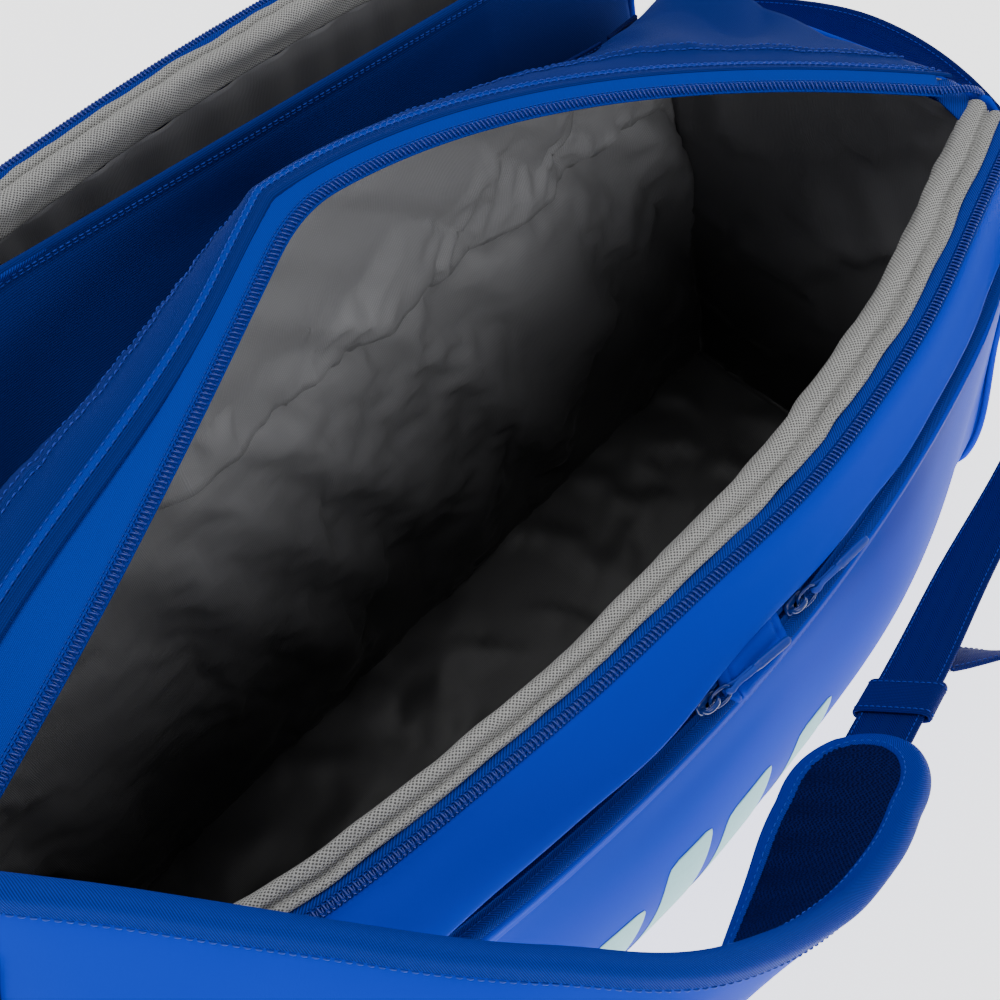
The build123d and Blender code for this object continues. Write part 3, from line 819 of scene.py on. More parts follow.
flap_lining = wall_grid(flap_lining_line, -2.4, across=4)
inward = normals(flap_lining)
u, v = lengths(flap_lining, 0), lengths(flap_lining, 1)
to_edge = v[:, -1:] - v
clear = ramp(v, 0, 12) * ramp(to_edge, 0, 22)
folds = field(u + 0.9 * v, 0.2 * v, 41, low=26, high=70)
bag_out = 3.5 * clear + 7 * ramp(v, 0, 14) * ramp(-v, -90, -20) + 3.2 * np.maximum(folds + 0.9, 0) * clear
flap_lining += inward * bag_out[..., None]
flap_lining = buckled(flap_lining, 0.12, 10, 31, inward)
ruffle = np.sin(u / 3.4 + 2.5 * np.sin(u / 31) + 1.3 * np.sin(u / 57)) * np.exp(-v / 16)
flap_lining += inward * (1.9 * (ruffle + 0.6))[..., None]
lining = cloth("lining_gusset_a", flap_lining, SATIN, 0.5)
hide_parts("lining_a_flap")

rows = wall_grid(wall_a_line, -5.9, across=5, step=4)
inward = normals(rows)
u, v = lengths(rows, 0), lengths(rows, 1)
folds = (field(u + 0.5 * v, 0.15 * v, 42, low=40, high=110) + 1) * ramp(v, 0, 60) * ramp(v.max() - v, 0, 30)
rows += inward * (4.5 * np.maximum(folds, 0))[..., None]
settled = buckled(rows, 0.07, 9, 32, inward)
ruffle = np.sin(u / 3.4 + 2.5 * np.sin(u / 31)) * np.exp((v - v.max()) / 14)
settled += inward * (1.5 * (ruffle + 0.5))[..., None]
lining = cloth("lining_rear_a", settled, SATIN, 0.5)
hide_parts("lining_a_rear")

rows = round_foot(wall_grid(front_wall_line, 6, across=5, step=4), 35)
settled = buckled(rows, 0.04, 6, 33, -normals(rows))
lining = cloth("lining_front_a", settled, SATIN, 0.5, flip=True)
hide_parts("lining_a_front")

rows = round_foot(wall_grid(rear_line, 7, across=5, step=4), 34)
u, v = lengths(rows, 0), lengths(rows, 1)
settled = buckled(rows, 0.06, 7, 34, -normals(rows))
pleats = np.sin(u / 5.2 + 1.8 * np.sin(u / 43)) * np.exp(-v / 55)
settled += -normals(rows) * (1.6 * (pleats + 0.4))[..., None]
lining_b = cloth("lining_rear_b", settled, SATIN, 0.5, flip=True)
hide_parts("lining_b")
rows = wall_grid(wall_b_line, -5.9, across=5, step=4)
cloth("lining_divider_b", buckled(rows, 0.04, 6, 35, normals(rows)), SATIN, 0.5)
rows = wall_grid(inner_b_line, -4.2, across=4, step=4)
cloth("lining_gusset_b", buckled(rows, 0.05, 5, 36, normals(rows)), SATIN, 0.5)

for name, low, high, seed in (("a", -131, 38, 37), ("b", 55, 150, 38)):
    xs, ys = np.linspace(-338, 338, 130), np.linspace(low, high, 26)
    rows = np.stack([*np.meshgrid(xs, ys, indexing="ij"), np.full((130, 26), 9.6)], axis=-1)
    rows = round_foot(rows, 34)
    upward = np.broadcast_to((0.0, 0.0, 1.0), rows.shape)
    floor_cloth = cloth(f"floor_lining_{name}", buckled(rows, 0.03, 4, seed, upward), SATIN, 0.5)
    if name == "a":
        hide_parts("lining_floors")

# ---------------------------------------------------------------- end panels
TAILS = {"a": {-1: -72, 1: -94}, "b": {-1: 172, 1: 172}}
for side, end in ((-1, "near"), (1, "far")):
    x = side * SIDE_REACH
    edges = {
        "a": (pocket_line(x) + [(front_y(x) - 34, 306), (front_y(x) - 23, 318)],
              [(38, WALL_FOOT), (70, 122), (101, SPINE_Z - 6), (103, SPINE_Z + 24), (96, 292)]),
        "b": ([(52, WALL_FOOT), (90, 122), (127, SPINE_Z - 6), (129, SPINE_Z + 4),
               (float(inner_b_y(x)), 326)],
              rear_shape(x)[::-1][:-1]),
    }
    for part, (left, right) in edges.items():
        rows = coons(left, right, 70, 90, 0)
        w, t = np.linspace(0, 1, 70)[:, None], np.linspace(0, 1, 90)[None]
        if part == "a":
            crest = [0, 14, 24, 10, 0] if side < 0 else [0, 12, 12, 9, 0]
            where = [0, 0.15, 0.34, 0.70, 1] if side < 0 else [0, 0.07, 0.3, 0.6, 1]
            crown = np.interp(w[:, 0], where, crest)[:, None]
            rows[..., 2] += crown * ramp(t, 0.75, 1)
        y, z = rows[..., 1], rows[..., 2]
        tail_y = TAILS[part][side]
        near_tail = np.exp(-((y - tail_y) / 30) ** 2) * ramp(z, 150, 190)
        dent = (3.2 * np.sin(pi * w) * np.sin(pi * t) + 0.9 * field(y, z, 50 + side, low=60, high=150)
                * np.sin(pi * w) * np.sin(pi * t)) * (1 - near_tail)
        outer = rows.copy()
        outer[..., 0] = side * (END_OUT - np.clip(dent, -0.6, 5))
        outer = round_foot(outer)
        panel = cloth(f"end_{part}_{end}_cloth", outer, PU, 2.2, flip=side < 0)
        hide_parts(f"end_panel_{part}_{end}")
        inner_rows = rows[1:-1, :-2].copy()
        inner_rows[..., 0] = side * (SIDE_REACH - 1.5)
        inner_rows = round_foot(inner_rows, 34)[::2, ::2]
        toward = np.broadcast_to((-float(side), 0.0, 0.0), inner_rows.shape)
        inner_rows = buckled(inner_rows, 0.05, 7, 60 + side, toward)
        # Compartment A's end linings get the darker copy of the satin as painted shade.
        shade_of_end = SATIN if part == "b" else SHADED_END_SATIN
        cloth(f"lining_end_{part}_{end}", inner_rows, shade_of_end, 0.5, flip=side > 0)
        for edge_name, curve in (("left", left), ("right", right)):
            line = spline(curve, np.linspace(0, 1, 90))
            path = round_foot(np.column_stack([np.full(90, side * (SIDE_REACH + 4.6)), line]))
            tube(f"welt_{part}_{end}_{edge_name}", path, 2.2, PU, guide=(1, 0, 0))
            middle = np.mean(line, axis=0)
            inward_yz = unit(middle - line)
            seam = path + np.column_stack([np.full(90, side * 0.4), inward_yz * 4.5])
            stitch(seam, (side, 0, 0), THREAD)

# ---------------------------------------------------------------- compartment A's mouth
xs = mouth_xs(337)
sway_y, sway_z = sway(xs)
fade = ramp(-np.abs(xs), -337, -300)
rim_a = np.column_stack([xs, front_y(xs) + sway_y * fade, sway_z * fade])
across, out = frames(rim_a)


def trim(x):
    """The front rim's strips lie closer together towards the near end."""
    return 0.68 + 0.32 * ramp(x, -60, 150)


ROLL = [(0.2, 311), (1.4, 317.5), (0.9, 323.5), (-1.6, 327.6), (-5, 328.9), (-8.4, 327.6), (-10.4, 324.9),
        (-11.5, 323.1), (-12.7, 324.7), (-15, 326), (-17.4, 325.3), (-18.3, 323.6), (-17, 321.9),
        (-12, 320.6), (-8.5, 315), (-4.5, 311.3)]


def mesh_rim(name, path, across, out, mirror, node, seed):
    """Padded roll and flat strip in one piece of spacer mesh, stitched down between them."""
    section = rounded_section(ROLL, 44)
    rows = np.broadcast_to(section, (len(path),) + section.shape).copy()
    u = path[:, 0][:, None]
    lean_in = section[None, :, 1] - 311
    rows[..., 0] += 0.5 * field(u, rows[..., 1] * 2, seed, low=14, high=60) * (lean_in > 1)
    rows[..., 1] += 0.45 * field(u, rows[..., 0] * 2, seed + 1, low=12, high=50) * (lean_in > 6)
    if mirror:
        rows[..., 0] = -19 - rows[..., 0]
        rows = rows[:, ::-1]
    else:
        rows[..., 0] *= trim(u)
    rim = sweep(name, path, across, out, rows, GREY_MESH)
    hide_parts(node)
    return rim


mesh_rim("rim_mesh_a", rim_a, across, out, False, "rim_roll_a", 71)
near_in = trim(rim_a[:, 0])
stitch(moved(rim_a, across, out, -11.5 * near_in, 323.2), out, GREY_THREAD, pitch=3.2, long=2.4, thick=0.34)
stitch(moved(rim_a, across, out, -17.2 * near_in, 325.6), out, GREY_THREAD, pitch=3.2, long=2.2, thick=0.25)
tape = rounded_section([(-14, 320.9), (-19, 322.5), (-23.2, 322.2), (-24.2, 320.6), (-29.8, 319.4),
                        (-29.8, 318.6), (-23, 319.8), (-14, 320.1)], 26)
tape = np.broadcast_to(tape, (len(rim_a),) + tape.shape).copy()
tape[..., 0] *= near_in[:, None]
zip_tape_a = sweep("zip_tape_a_front", rim_a, across, out, tape, TAPE)
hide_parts("zip_tape_a")


def run_down(path, across, side_y):
    """Carries a mouth's zipper over both ends of the bag, down to where its closed tail begins."""
    parts = []
    for side, end in ((-1, 0), (1, -1)):
        start = path[end]
        goal = np.array([side * 348.2, side_y[side], 304.0])
        knots = [start, start + np.array([side * 8, (goal[1] - start[1]) * 0.3, -1.2]),
                 np.array([side * 346.4, start[1] * 0.25 + goal[1] * 0.75, start[2] - 9]), goal]
        line = spline(knots, np.linspace(0.06, 1, 16))
        parts.append(line[::-1] if side < 0 else line)
    full = np.concatenate([parts[0], path, parts[1]])
    run = unit(np.gradient(full, axis=0))
    fixed = np.concatenate([np.repeat(across[:1], 16, axis=0), across, np.repeat(across[-1:], 16, axis=0)])
    fixed = unit(fixed - run * np.sum(fixed * run, axis=1)[:, None])
    return full, fixed, np.cross(run, fixed)


keep = np.abs(xs) <= 330.5
front_side = {side: TAILS["a"][side] - 1.7 for side in (-1, 1)}
rear_side = {side: TAILS["a"][side] + 1.7 for side in (-1, 1)}
heads = moved(rim_a, across, out, -26 * near_in, 321.5)[keep]
coil_a = coil("coil_a_front", *run_down(heads, across[keep], front_side), *COIL, NYLON)
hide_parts("zip_coil_a_front")
for offset in (-22.9, -24.3):
    stitch(moved(rim_a, across, out, offset * near_in, 322.0 if offset > -23 else 321.5), out, THREAD,
           pitch=2.2, long=1.7, thick=0.3)
BAND = [(-27.4, 318.2), (-28.6, 319.9), (-31.8, 318.4), (-37.2, 311), (-42.4, 302), (-46.2, 294.2),
        (-46.9, 291.5), (-45.4, 290.2), (-43.6, 291.8), (-40.6, 298), (-36, 306), (-31, 313)]
band_section = rounded_section(BAND, 48)
lip = np.broadcast_to(band_section, (len(rim_a),) + band_section.shape).copy()
weight = ramp(-lip[..., 1], -300, -290)
flutter = 1.1 * field(rim_a[:, 0][:, None], lip[..., 1] * 0, 75, low=60, high=160)
around_tab = np.exp(-((rim_a[:, 0] - TAB_X) / 40) ** 2)[:, None]
lip[..., 0] += weight * (flutter + 1.6 * around_tab)
lip[..., 1] += weight * (0.6 * flutter + 1.6 * around_tab)
lip[..., 0] += 27.4 * (1 - near_in)[:, None] * ramp(lip[..., 1], 292, 318)
band_a = sweep("front_band", rim_a, squared(rim_a, across), out, lip, PU)
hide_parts("front_top_band")

edge_xs = mouth_xs(334)
edge_a = np.column_stack([edge_xs, flap_y(edge_xs), flap_z(edge_xs) + 0.7])
for k in (1, 2):
    edge_a[:, k] = eased(edge_a[:, k])
across, out = frames(edge_a)
tape_rows = np.empty((len(edge_xs), 20, 3))
for i, x in enumerate(edge_xs):
    outline = shifted(flap_line(x), 0.3)
    whole = np.sum(np.linalg.norm(np.diff(np.array(outline), axis=0), axis=1))
    under = spline(outline, 1 - np.linspace(flap_back(x) + 7, 0.5, 10) / whole)
    tape_rows[i, :10] = np.column_stack([np.full(10, x), under])
    reach_over = np.linspace(1.6, 16, 10)[:, None]
    tape_rows[i, 10:] = edge_a[i] - across[i] * reach_over + out[i] * (0.3 - 0.02 * reach_over)
cloth("zip_tape_a_rear", tape_rows, SMOOTH_TAPE, 0.8, flip=True)
heads = moved(edge_a, across, out, -13.6, 1.2)
rear_coil = coil("coil_a_rear", *run_down(heads, across, rear_side), *COIL, NYLON)
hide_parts("zip_coil_a_rear")
for offset in (-10.2, -9.0):
    stitch(moved(edge_a, across, out, offset, 0.2), out, THREAD, pitch=2.2, long=1.7, thick=0.3)

# ---------------------------------------------------------------- compartment B's mouth
xs = mouth_xs(337)
rim_b = np.column_stack([xs, rear_y(xs), 9 + 0.7 * np.sin(xs / 53)])
across, out = frames(rim_b)
mesh_rim("rim_mesh_b", rim_b, across, out, True, "rim_roll_b", 81)
stitch(moved(rim_b, across, out, -7.5, 323.2), out, GREY_THREAD, pitch=3.2, long=2.4, thick=0.34)
tape = rounded_section([(-5, 320.9), (0, 322.5), (4.2, 322.2), (5.2, 320.6), (10.8, 319.4),
                        (10.8, 318.6), (4, 319.8), (-5, 320.1)][::-1], 26)
tape_b = sweep("zip_tape_b_rear", rim_b, across, out, tape, TAPE)
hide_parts("zip_tape_b")
keep = np.abs(xs) <= 330.5
heads = moved(rim_b, across, out, 6.5, 321.5)[keep]
coil_b = coil("coil_b_rear", *run_down(heads, across[keep], {-1: 173.7, 1: 173.7}), *COIL, NYLON)
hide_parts("zip_coil_b")
edge_b = np.column_stack([edge_xs, inner_b_y(edge_xs), np.full(len(edge_xs), 336.4)])
edge_b[:, 1] = eased(edge_b[:, 1])
across, out = frames(edge_b)
tape = rounded_section([(0.6, -1), (1.2, -1), (1.7, -8), (1.9, -15), (1.1, -15), (0.6, -8)][::-1], 24)
sweep("zip_tape_b_inner", edge_b, across, out, tape, TAPE)
heads = moved(edge_b, out, across, -14.5, 1.8)
coil("coil_b_inner", *run_down(heads, out, {-1: 170.3, 1: 170.3}), 4.4, 2.4, NYLON)

# ---------------------------------------------------------------- ends of the mouths and closed tails
for mouth, places in TAILS.items():
    for side, end in ((-1, "near"), (1, "far")):
        tail_y = places[side]
        if mouth == "a":
            y_low, y_high = front_y(side * 330) - 22, float(flap_y(side * 330)) - 6
            z_low, z_high = 320.5, float(flap_z(side * 330))
        else:
            y_low, y_high = float(inner_b_y(side * 330)) + 8, rear_y(side * 330) + 4
            z_low, z_high = 334, 329.5
        rows = []
        for t in np.linspace(0, 1, 22):
            y, z = y_low + (y_high - y_low) * t, z_low + (z_high - z_low) * t
            low_y = tail_y + 24 * (t - 0.5)
            knots = [(side * 324, y, z - 1.5), (side * 337, y * 0.8 + low_y * 0.2, z - 2.5),
                     (side * 346.2, y * 0.3 + low_y * 0.7, z - 11), (side * 346.4, low_y, 303)]
            rows.append(spline(knots, np.linspace(0, 1, 20)))
        cloth(f"zip_end_{mouth}_{end}", np.array(rows), TAPE, 0.8, flip=side > 0)
        zs = np.linspace(TAIL_TOP, TAIL_FOOT, 60)
        tail = np.column_stack([np.full(60, side * TAIL_OUT), np.full(60, tail_y), zs])
        across_tail, out_tail = np.array([0.0, 1.0, 0.0]), np.array([float(side), 0.0, 0.0])
        strip = rounded_section([(-12, 0.6), (-7, 0.8), (0, 0.8), (7, 0.8), (12, 0.6), (12, -0.3), (0, -0.3),
                                 (-12, -0.3)], 28)
        tape_piece = sweep(f"tail_tape_{mouth}_{end}", tail, across_tail, out_tail, strip, TAPE)
        for part, shift in (("left", -1.7), ("right", 1.7)):
            line = tail + across_tail * shift + out_tail * 1.7
            coil(f"tail_coil_{mouth}_{end}_{part}", line, across_tail, out_tail, 3.9, 2.3, NYLON)
        for shift in (-9.6, 9.6, -4.6, 4.6):
            stitch(tail + across_tail * shift + out_tail * 0.8, out_tail, THREAD,
                   pitch=2.6, long=1.9, thick=0.3)
        stop = tail[-4:-1] + out_tail * 2.2
        bar = rounded_section([(-5, 1.2), (5, 1.2), (5, -1.8), (-5, -1.8)], 20)
        sweep(f"tail_stop_{mouth}_{end}", stop, across_tail, out_tail, bar, NYLON)
        if side < 0:
            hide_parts(f"zip_tail_{mouth}")

# ---------------------------------------------------------------- front pocket zipper
xs = mouth_xs(338)
pocket_path = np.column_stack([xs, front_y(xs) - POCKET_IN, np.full(len(xs), float(POCKET_Z))])
run = unit(np.gradient(pocket_path, axis=0))
sideways = unit(np.cross(np.broadcast_to((0.0, 0.0, 1.0), run.shape), run))
zip_out = unit(-sideways * cos(LEAN) + np.array([0.0, 0.0, sin(LEAN)]))
zip_down = unit(-sideways * sin(LEAN) - np.array([0.0, 0.0, cos(LEAN)]))
zip_base = pocket_path - zip_out * 2.3
for part, sign in (("upper", -1), ("lower", 1)):
    half = [(0.25, -0.2), (0.5, 0.75), (1.8, 0.95), (3.3, 0.8), (4.3, 0.05), (9.5, 0.0), (10.6, 0.0),
            (10.6, -0.9), (0.4, -0.9)]
    if part == "lower":
        half = [(0.25, -0.2), (0.5, 0.75), (1.8, 0.95), (3.3, 0.9), (4.6, 1.6), (6.2, 3.8), (8.2, 5.4),
                (10.3, 5.6), (11.3, 4.2), (10.8, 1.5), (8, -0.6), (0.4, -0.9)]
    section = rounded_section([(sign * a, b) for a, b in half][::sign], 34)
    piece = sweep(f"pocket_tape_{part}", zip_base, zip_down, zip_out, section, ZIP_TAPE)
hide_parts("pocket_zip_tape", "pocket_zip_chain")
stitch(moved(zip_base, zip_down, zip_out, 5.0, 2.2), unit(zip_out - zip_down), THREAD, pitch=2.4, long=1.8,
       thick=0.28)
EDGE = [(-54.3, 262), (-55.2, 269), (-55.0, 273.2), (-53.2, 275.2), (-51.4, 274.4), (-51.6, 271),
        (-52.2, 262)]
edge_path = np.column_stack([xs, front_y(xs), np.zeros(len(xs))])
across, out = frames(edge_path)
across = squared(edge_path, across)
sweep("pocket_edge", edge_path, across, out, rounded_section(EDGE, 30), PU)
points, outward = line_on(front_rows, 2.5)
stitch(points, outward, THREAD)
# Painted shade: a near-black sheet in the recess between the front band's lip and the pocket zipper, in place
# of the shadow there.
recess = [(-38.5, 300), (-37.8, 294), (-39.2, 288.5), (-41.6, 286.5), (-41.2, 285.6), (-38, 287.5),
          (-36.6, 294), (-37.6, 300)]
sweep("pocket_recess", edge_path, across, out, rounded_section(recess, 26), RECESS_SHADE_LINING)


def on_pocket(s, a, b):
    """A point near the pocket zipper: s is the station x, a runs down across it, b out of it."""
    p = np.stack([np.interp(s, xs, pocket_path[:, k]) for k in range(3)], axis=-1)
    d = np.stack([np.interp(s, xs, zip_down[:, k]) for k in range(3)], axis=-1)
    o = np.stack([np.interp(s, xs, zip_out[:, k]) for k in range(3)], axis=-1)
    return p + d * np.asarray(a)[..., None] + o * np.asarray(b)[..., None]


# Padded tab between the two sliders.
ss, aa = np.meshgrid(np.linspace(-20.5, 20.5, 60), np.linspace(-9.5, 13.5, 38), indexing="ij")
fall = np.clip(1 - np.abs(ss / 20.8) ** 7, 0, 1) ** 0.5
fall = fall * np.clip(1 - np.abs((aa - 2) / 11.6) ** 5, 0, 1) ** 0.5
pinch = 1 - 0.35 * np.exp(-((np.abs(ss) - 15.5) / 1.3) ** 2)
rise = -1.6 + (4.0 + 2.6 * ramp(aa, 1, 7)) * fall * pinch + 0.25 * np.sin(ss / 4.0) * fall
tab_rows = on_pocket(TAB_X + ss * (1 - 0.06 * (aa / 10) ** 2), aa, rise)
tab = cloth("pocket_tab_padded", tab_rows, PU, 0.9)
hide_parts("pocket_tab")
for shift in (-15.5, 15.5):
    a_line = np.linspace(-7.5, 9, 30)
    station = np.full(30, float(TAB_X + shift))
    seam = on_pocket(station, a_line, np.full(30, 1.1))
    stitch(seam, on_pocket(station, a_line, np.full(30, 2.1)) - seam, THREAD)


# ---------------------------------------------------------------- sliders and pullers
class Place:
    """A local frame: x along the zipper towards the puller's end, y across, z out of the cloth."""

    def __init__(self, origin, x_dir, z_dir):
        self.origin = np.array(origin, float)
        self.z = unit(np.array(z_dir, float))
        x_dir = np.array(x_dir, float)
        self.x = unit(x_dir - self.z * (x_dir @ self.z))
        self.y = np.cross(self.z, self.x)

    def __call__(self, points):
        points = np.asarray(points, float)
        return self.origin + points[..., :1] * self.x + points[..., 1:2] * self.y + points[..., 2:] * self.z


def slider_pieces(place, name):
    angle = np.linspace(0, 2 * pi, 40, endpoint=False)
    c, s = np.cos(angle), np.sin(angle)
    long = 6.4 * np.sign(c) * np.abs(c) ** 0.7
    wide = 4.4 * np.sign(s) * np.abs(s) ** 0.75 * (1 - 0.16 * long / 6.4)
    layers = [(0.9, 0.0), (0.99, 0.25), (1.0, 0.8), (0.98, 1.5), (0.9, 1.95), (0.7, 2.15), (0.3, 2.2)]
    body = np.array([np.column_stack([long * k, wide * k, np.full(40, z)]) for k, z in layers])
    plate = mesh_object(f"{name}_body", place(body).reshape(-1, 3), tube_faces(len(layers), 40), ENAMEL, name)
    arch = spline([(-4.9, 0, 1.6), (-4.2, 0, 3.9), (-2.2, 0, 5.3), (0, 0, 5.55), (2.2, 0, 5.3), (4.2, 0, 3.9),
                   (4.9, 0, 1.6)], np.linspace(0, 1, 30))
    run = unit(np.gradient(arch, axis=0))
    up = np.cross(run, np.broadcast_to((0.0, 1.0, 0.0), run.shape)) * -1
    world = np.array([place.x, place.y, place.z])
    sweep(f"{name}_bridge", place(arch), place.y, up @ world, lozenge(1.6, 1.2, 0.6, 20), ENAMEL, name)
    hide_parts(name)


def puller_pieces(place, name):
    tilt = radians(8)
    lay = Place(place.origin + place.z * 3.3, place.x * cos(tilt) + place.z * sin(tilt),
                place.z * cos(tilt) - place.x * sin(tilt))
    angle = np.linspace(0, 2 * pi, 44, endpoint=False)
    c, s = np.cos(angle), np.sin(angle)
    loop = np.column_stack([5.5 + 5.5 * np.sign(c) * np.abs(c) ** 0.85, 4.2 * np.sign(s) * np.abs(s) ** 0.85,
                            np.zeros(44)])
    ring = tube(f"{name}_ring", lay(loop), 0.85, ENAMEL, name, 10, lay.z, loop=True)
    fold = spline([(27, 0, 0.5), (20, 0, 0.6), (13.6, 0, 0.9), (11.2, 0, 1.55), (9.7, 0, 0.9), (9.5, 0, -0.3),
                   (10.5, 0, -1.35), (13.6, 0, -0.9), (20, 0, -0.6), (27, 0, -0.5)], np.linspace(0, 1, 60))
    run = unit(np.gradient(fold, axis=0))
    up = np.cross(run, np.broadcast_to((0.0, 1.0, 0.0), run.shape))
    world = np.array([lay.x, lay.y, lay.z])
    sweep(f"{name}_cord", lay(fold), lay.y, up @ world, lozenge(1.8, 1.6, 0.42, 18), THREAD, name)
    t = np.linspace(0, 1, 40)
    core = np.column_stack([24 + 22 * t, np.zeros(40), np.zeros(40)])
    neck = 1 - 0.12 * np.exp(-((t - 0.12) / 0.03) ** 2)
    swell = np.clip(1 - np.abs(2 * t - 1) ** 10, 0, 1) ** 0.5 * (1 - 0.08 * t) * neck
    sections = lozenge(2.6, 2.1, 1.15, 24)[None] * np.maximum(swell, 0.05)[:, None, None]
    sweep(f"{name}_grip", lay(core), lay.y, lay.z, sections, GRIP, name)
    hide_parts(name)


def hardware(place, where):
    slider_pieces(place, f"slider_{where}")
    puller_pieces(place, f"puller_{where}")


for where, x in POCKET_SLIDERS.items():
    slope = 2 * RIM_CURVE * (x - RIM_LOW_X)
    outward = unit(np.array([slope * cos(LEAN), -cos(LEAN), sin(LEAN)]))
    at = np.array([x, front_y(x) - POCKET_IN, POCKET_Z]) - outward
    hardware(Place(at, (1, slope, 0), outward), where)
for mouth, places in TAILS.items():
    for side, end in ((-1, "near"), (1, "far")):
        at = (side * (TAIL_OUT + 3.1), places[side], TAIL_SLIDER_Z)
        hardware(Place(at, (0, 0, -1), (side, 0, 0)), f"{mouth}_{end}")

# ---------------------------------------------------------------- shoulder straps
FRONT_PAD = [(-286.5, 0, 383, 0, 34), (-268.2, -33.1, 389, -14, 52), (-244.1, -75.6, 389.9, -28, 60),
             (-220.2, -112, 384.3, -36, 60), (-181.7, -164.5, 365, -38, 60),
             (-135.1, -220, 345.5, -34, 60), (-88.3, -253.2, 322.6, -10, 60),
             (-41.6, -257.5, 297.1, 24, 60), (0, -250.9, 285.2, 44, 60), (30, -245, 277, 50, 52),
             (48, -242, 271, 50, 34)]
FRONT_ROOT = [(-331, 114, 262, 0, 18), (-346, 112, 265, 0, 18), (-360, 96, 280, 0, 24),
              (-364, 68, 316, 0, 28), (-350, 42, 352, 0, 30), (-322, 22, 372, 0, 30),
              (-290, 4, 382, 0, 30), (-276, -12, 385, 0, 30)]
FRONT_WEB = [(36, -244, 274.5, 50, 30), (50, -241.7, 270, 50, 30), (77, -238, 262, 50, 30),
             (105, -234, 254, 50, 30), (161, -224, 247, 45, 30), (253, -208, 250, 35, 30),
             (312, -182, 262, 20, 30), (354, -130, 280, 5, 30), (376, -70, 292, 0, 30), (382, 0, 290, 0, 30),
             (373, 60, 276, 0, 24), (356, 100, 264, 0, 18), (331, 114, 262, 0, 18)]
FRONT_TAIL = [(112, -238, 247.5, 50, 28), (126, -248, 243, 40, 28), (142, -260, 238, 25, 28),
              (158, -270, 230, 0, 28), (170, -272, 218, -15, 28)]
TAB_ROUTE = [(-249, -71, 390.6, -29, 24), (-235, -89, 388.4, -31, 24)]
REAR_PAD = [(-14, 118, 278, 0, 32), (22, 119, 283, 0, 46), (62, 119.5, 286, 0, 54),
            (110, 119.5, 285, 0, 54), (160, 119, 280, 0, 48), (208, 118, 274, 0, 40),
            (244, 117.5, 268, 0, 32)]
REAR_ROOT = [(-296, 116.5, 264, 0, 18), (-262, 116.5, 264, 0, 30), (-200, 116.5, 264, 0, 30),
             (-140, 116.5, 264, 0, 30), (-80, 116.5, 264.5, 0, 30), (-44, 117, 269, 0, 30),
             (-19, 117.8, 276, 0, 30), (-4, 118.2, 280, 0, 30)]
REAR_WEB = [(234, 117.7, 269.5, 0, 30), (248, 117.4, 267.3, 0, 30), (262, 117.1, 265.5, 0, 28),
            (280, 116.8, 264.5, 0, 22), (296, 116.5, 264, 0, 18)]


class Band:
    """The middle line of a strap with its own directions: x across it, y out of its outer face."""

    def __init__(self, route, spare=0.0, step=1.5):
        points = np.array([p[:3] for p in route], float)
        gaps = np.linalg.norm(np.diff(points, axis=0), axis=1)
        knots = np.concatenate([[0], np.cumsum(gaps)])
        self.length = knots[-1]
        s = np.arange(0, self.length + step / 2, step)
        line = spline(points, np.clip(s / self.length, 0, 1))
        lean = np.interp(s, knots, [p[3] for p in route])
        wide = np.interp(s, knots, [p[4] for p in route])
        kernel = np.ones(15) / 15
        lean = np.convolve(np.pad(lean, 7, mode="edge"), kernel, "valid")
        wide = np.convolve(np.pad(wide, 7, mode="edge"), kernel, "valid")
        if spare:
            count = int(spare / step)
            ahead = np.arange(1, count + 1)[:, None] * step
            line = np.concatenate([line[0] + unit(line[0] - line[1]) * ahead[::-1], line,
                                   line[-1] + unit(line[-1] - line[-2]) * ahead])
            lean, wide = (np.pad(value, count, mode="edge") for value in (lean, wide))
            s = (np.arange(len(line)) - count) * step
        self.s, self.line, self.wide = s, line, wide
        along = unit(np.gradient(line, axis=0))
        up = unit(np.array([0.0, 0.0, 1.0]) - along * along[:, 2:])
        out = np.cross(along, up)
        tip = np.radians(lean)[:, None]
        self.x = up * np.cos(tip) + out * np.sin(tip)
        self.y = np.cross(along, self.x)
        self.along = along

    def __call__(self, s, a, t):
        s, a, t = np.broadcast_arrays(np.asarray(s, float), a, t)
        result = [np.interp(s, self.s, self.line[:, k]) + a * np.interp(s, self.s, self.x[:, k])
                  + t * np.interp(s, self.s, self.y[:, k]) for k in range(3)]
        return np.stack(result, axis=-1)


def flat_section(wide, thick, round_off=0.5):
    w, t = wide / 2, thick / 2
    return np.array([(-w, 0), (-w + 0.2, t * 0.8), (-w + round_off, t), (-w * 0.5, t), (0, t), (w * 0.5, t),
                     (w - round_off, t), (w - 0.2, t * 0.8), (w, 0), (w - 0.2, -t * 0.8), (w - round_off, -t),
                     (w * 0.5, -t), (0, -t), (-w * 0.5, -t), (-w + round_off, -t), (-w + 0.2, -t * 0.8)])


def webbing(name, route, body, material=None, thick=1.8):
    band = Band(route)
    sections = np.array([flat_section(w, thick) for w in band.wide])
    piece = sweep(name, band.line, band.x, band.y, sections, material or WEBBING, body)
    inset = band.x * (band.wide / 2 - 2.2)[:, None]
    for edge in (-1, 1):
        for face in (-1, 1):
            stitch(band.line + inset * edge + band.y * face * thick / 2, band.y * face, THREAD, body,
                   pitch=3.0, long=2.2, thick=0.26)
    return piece


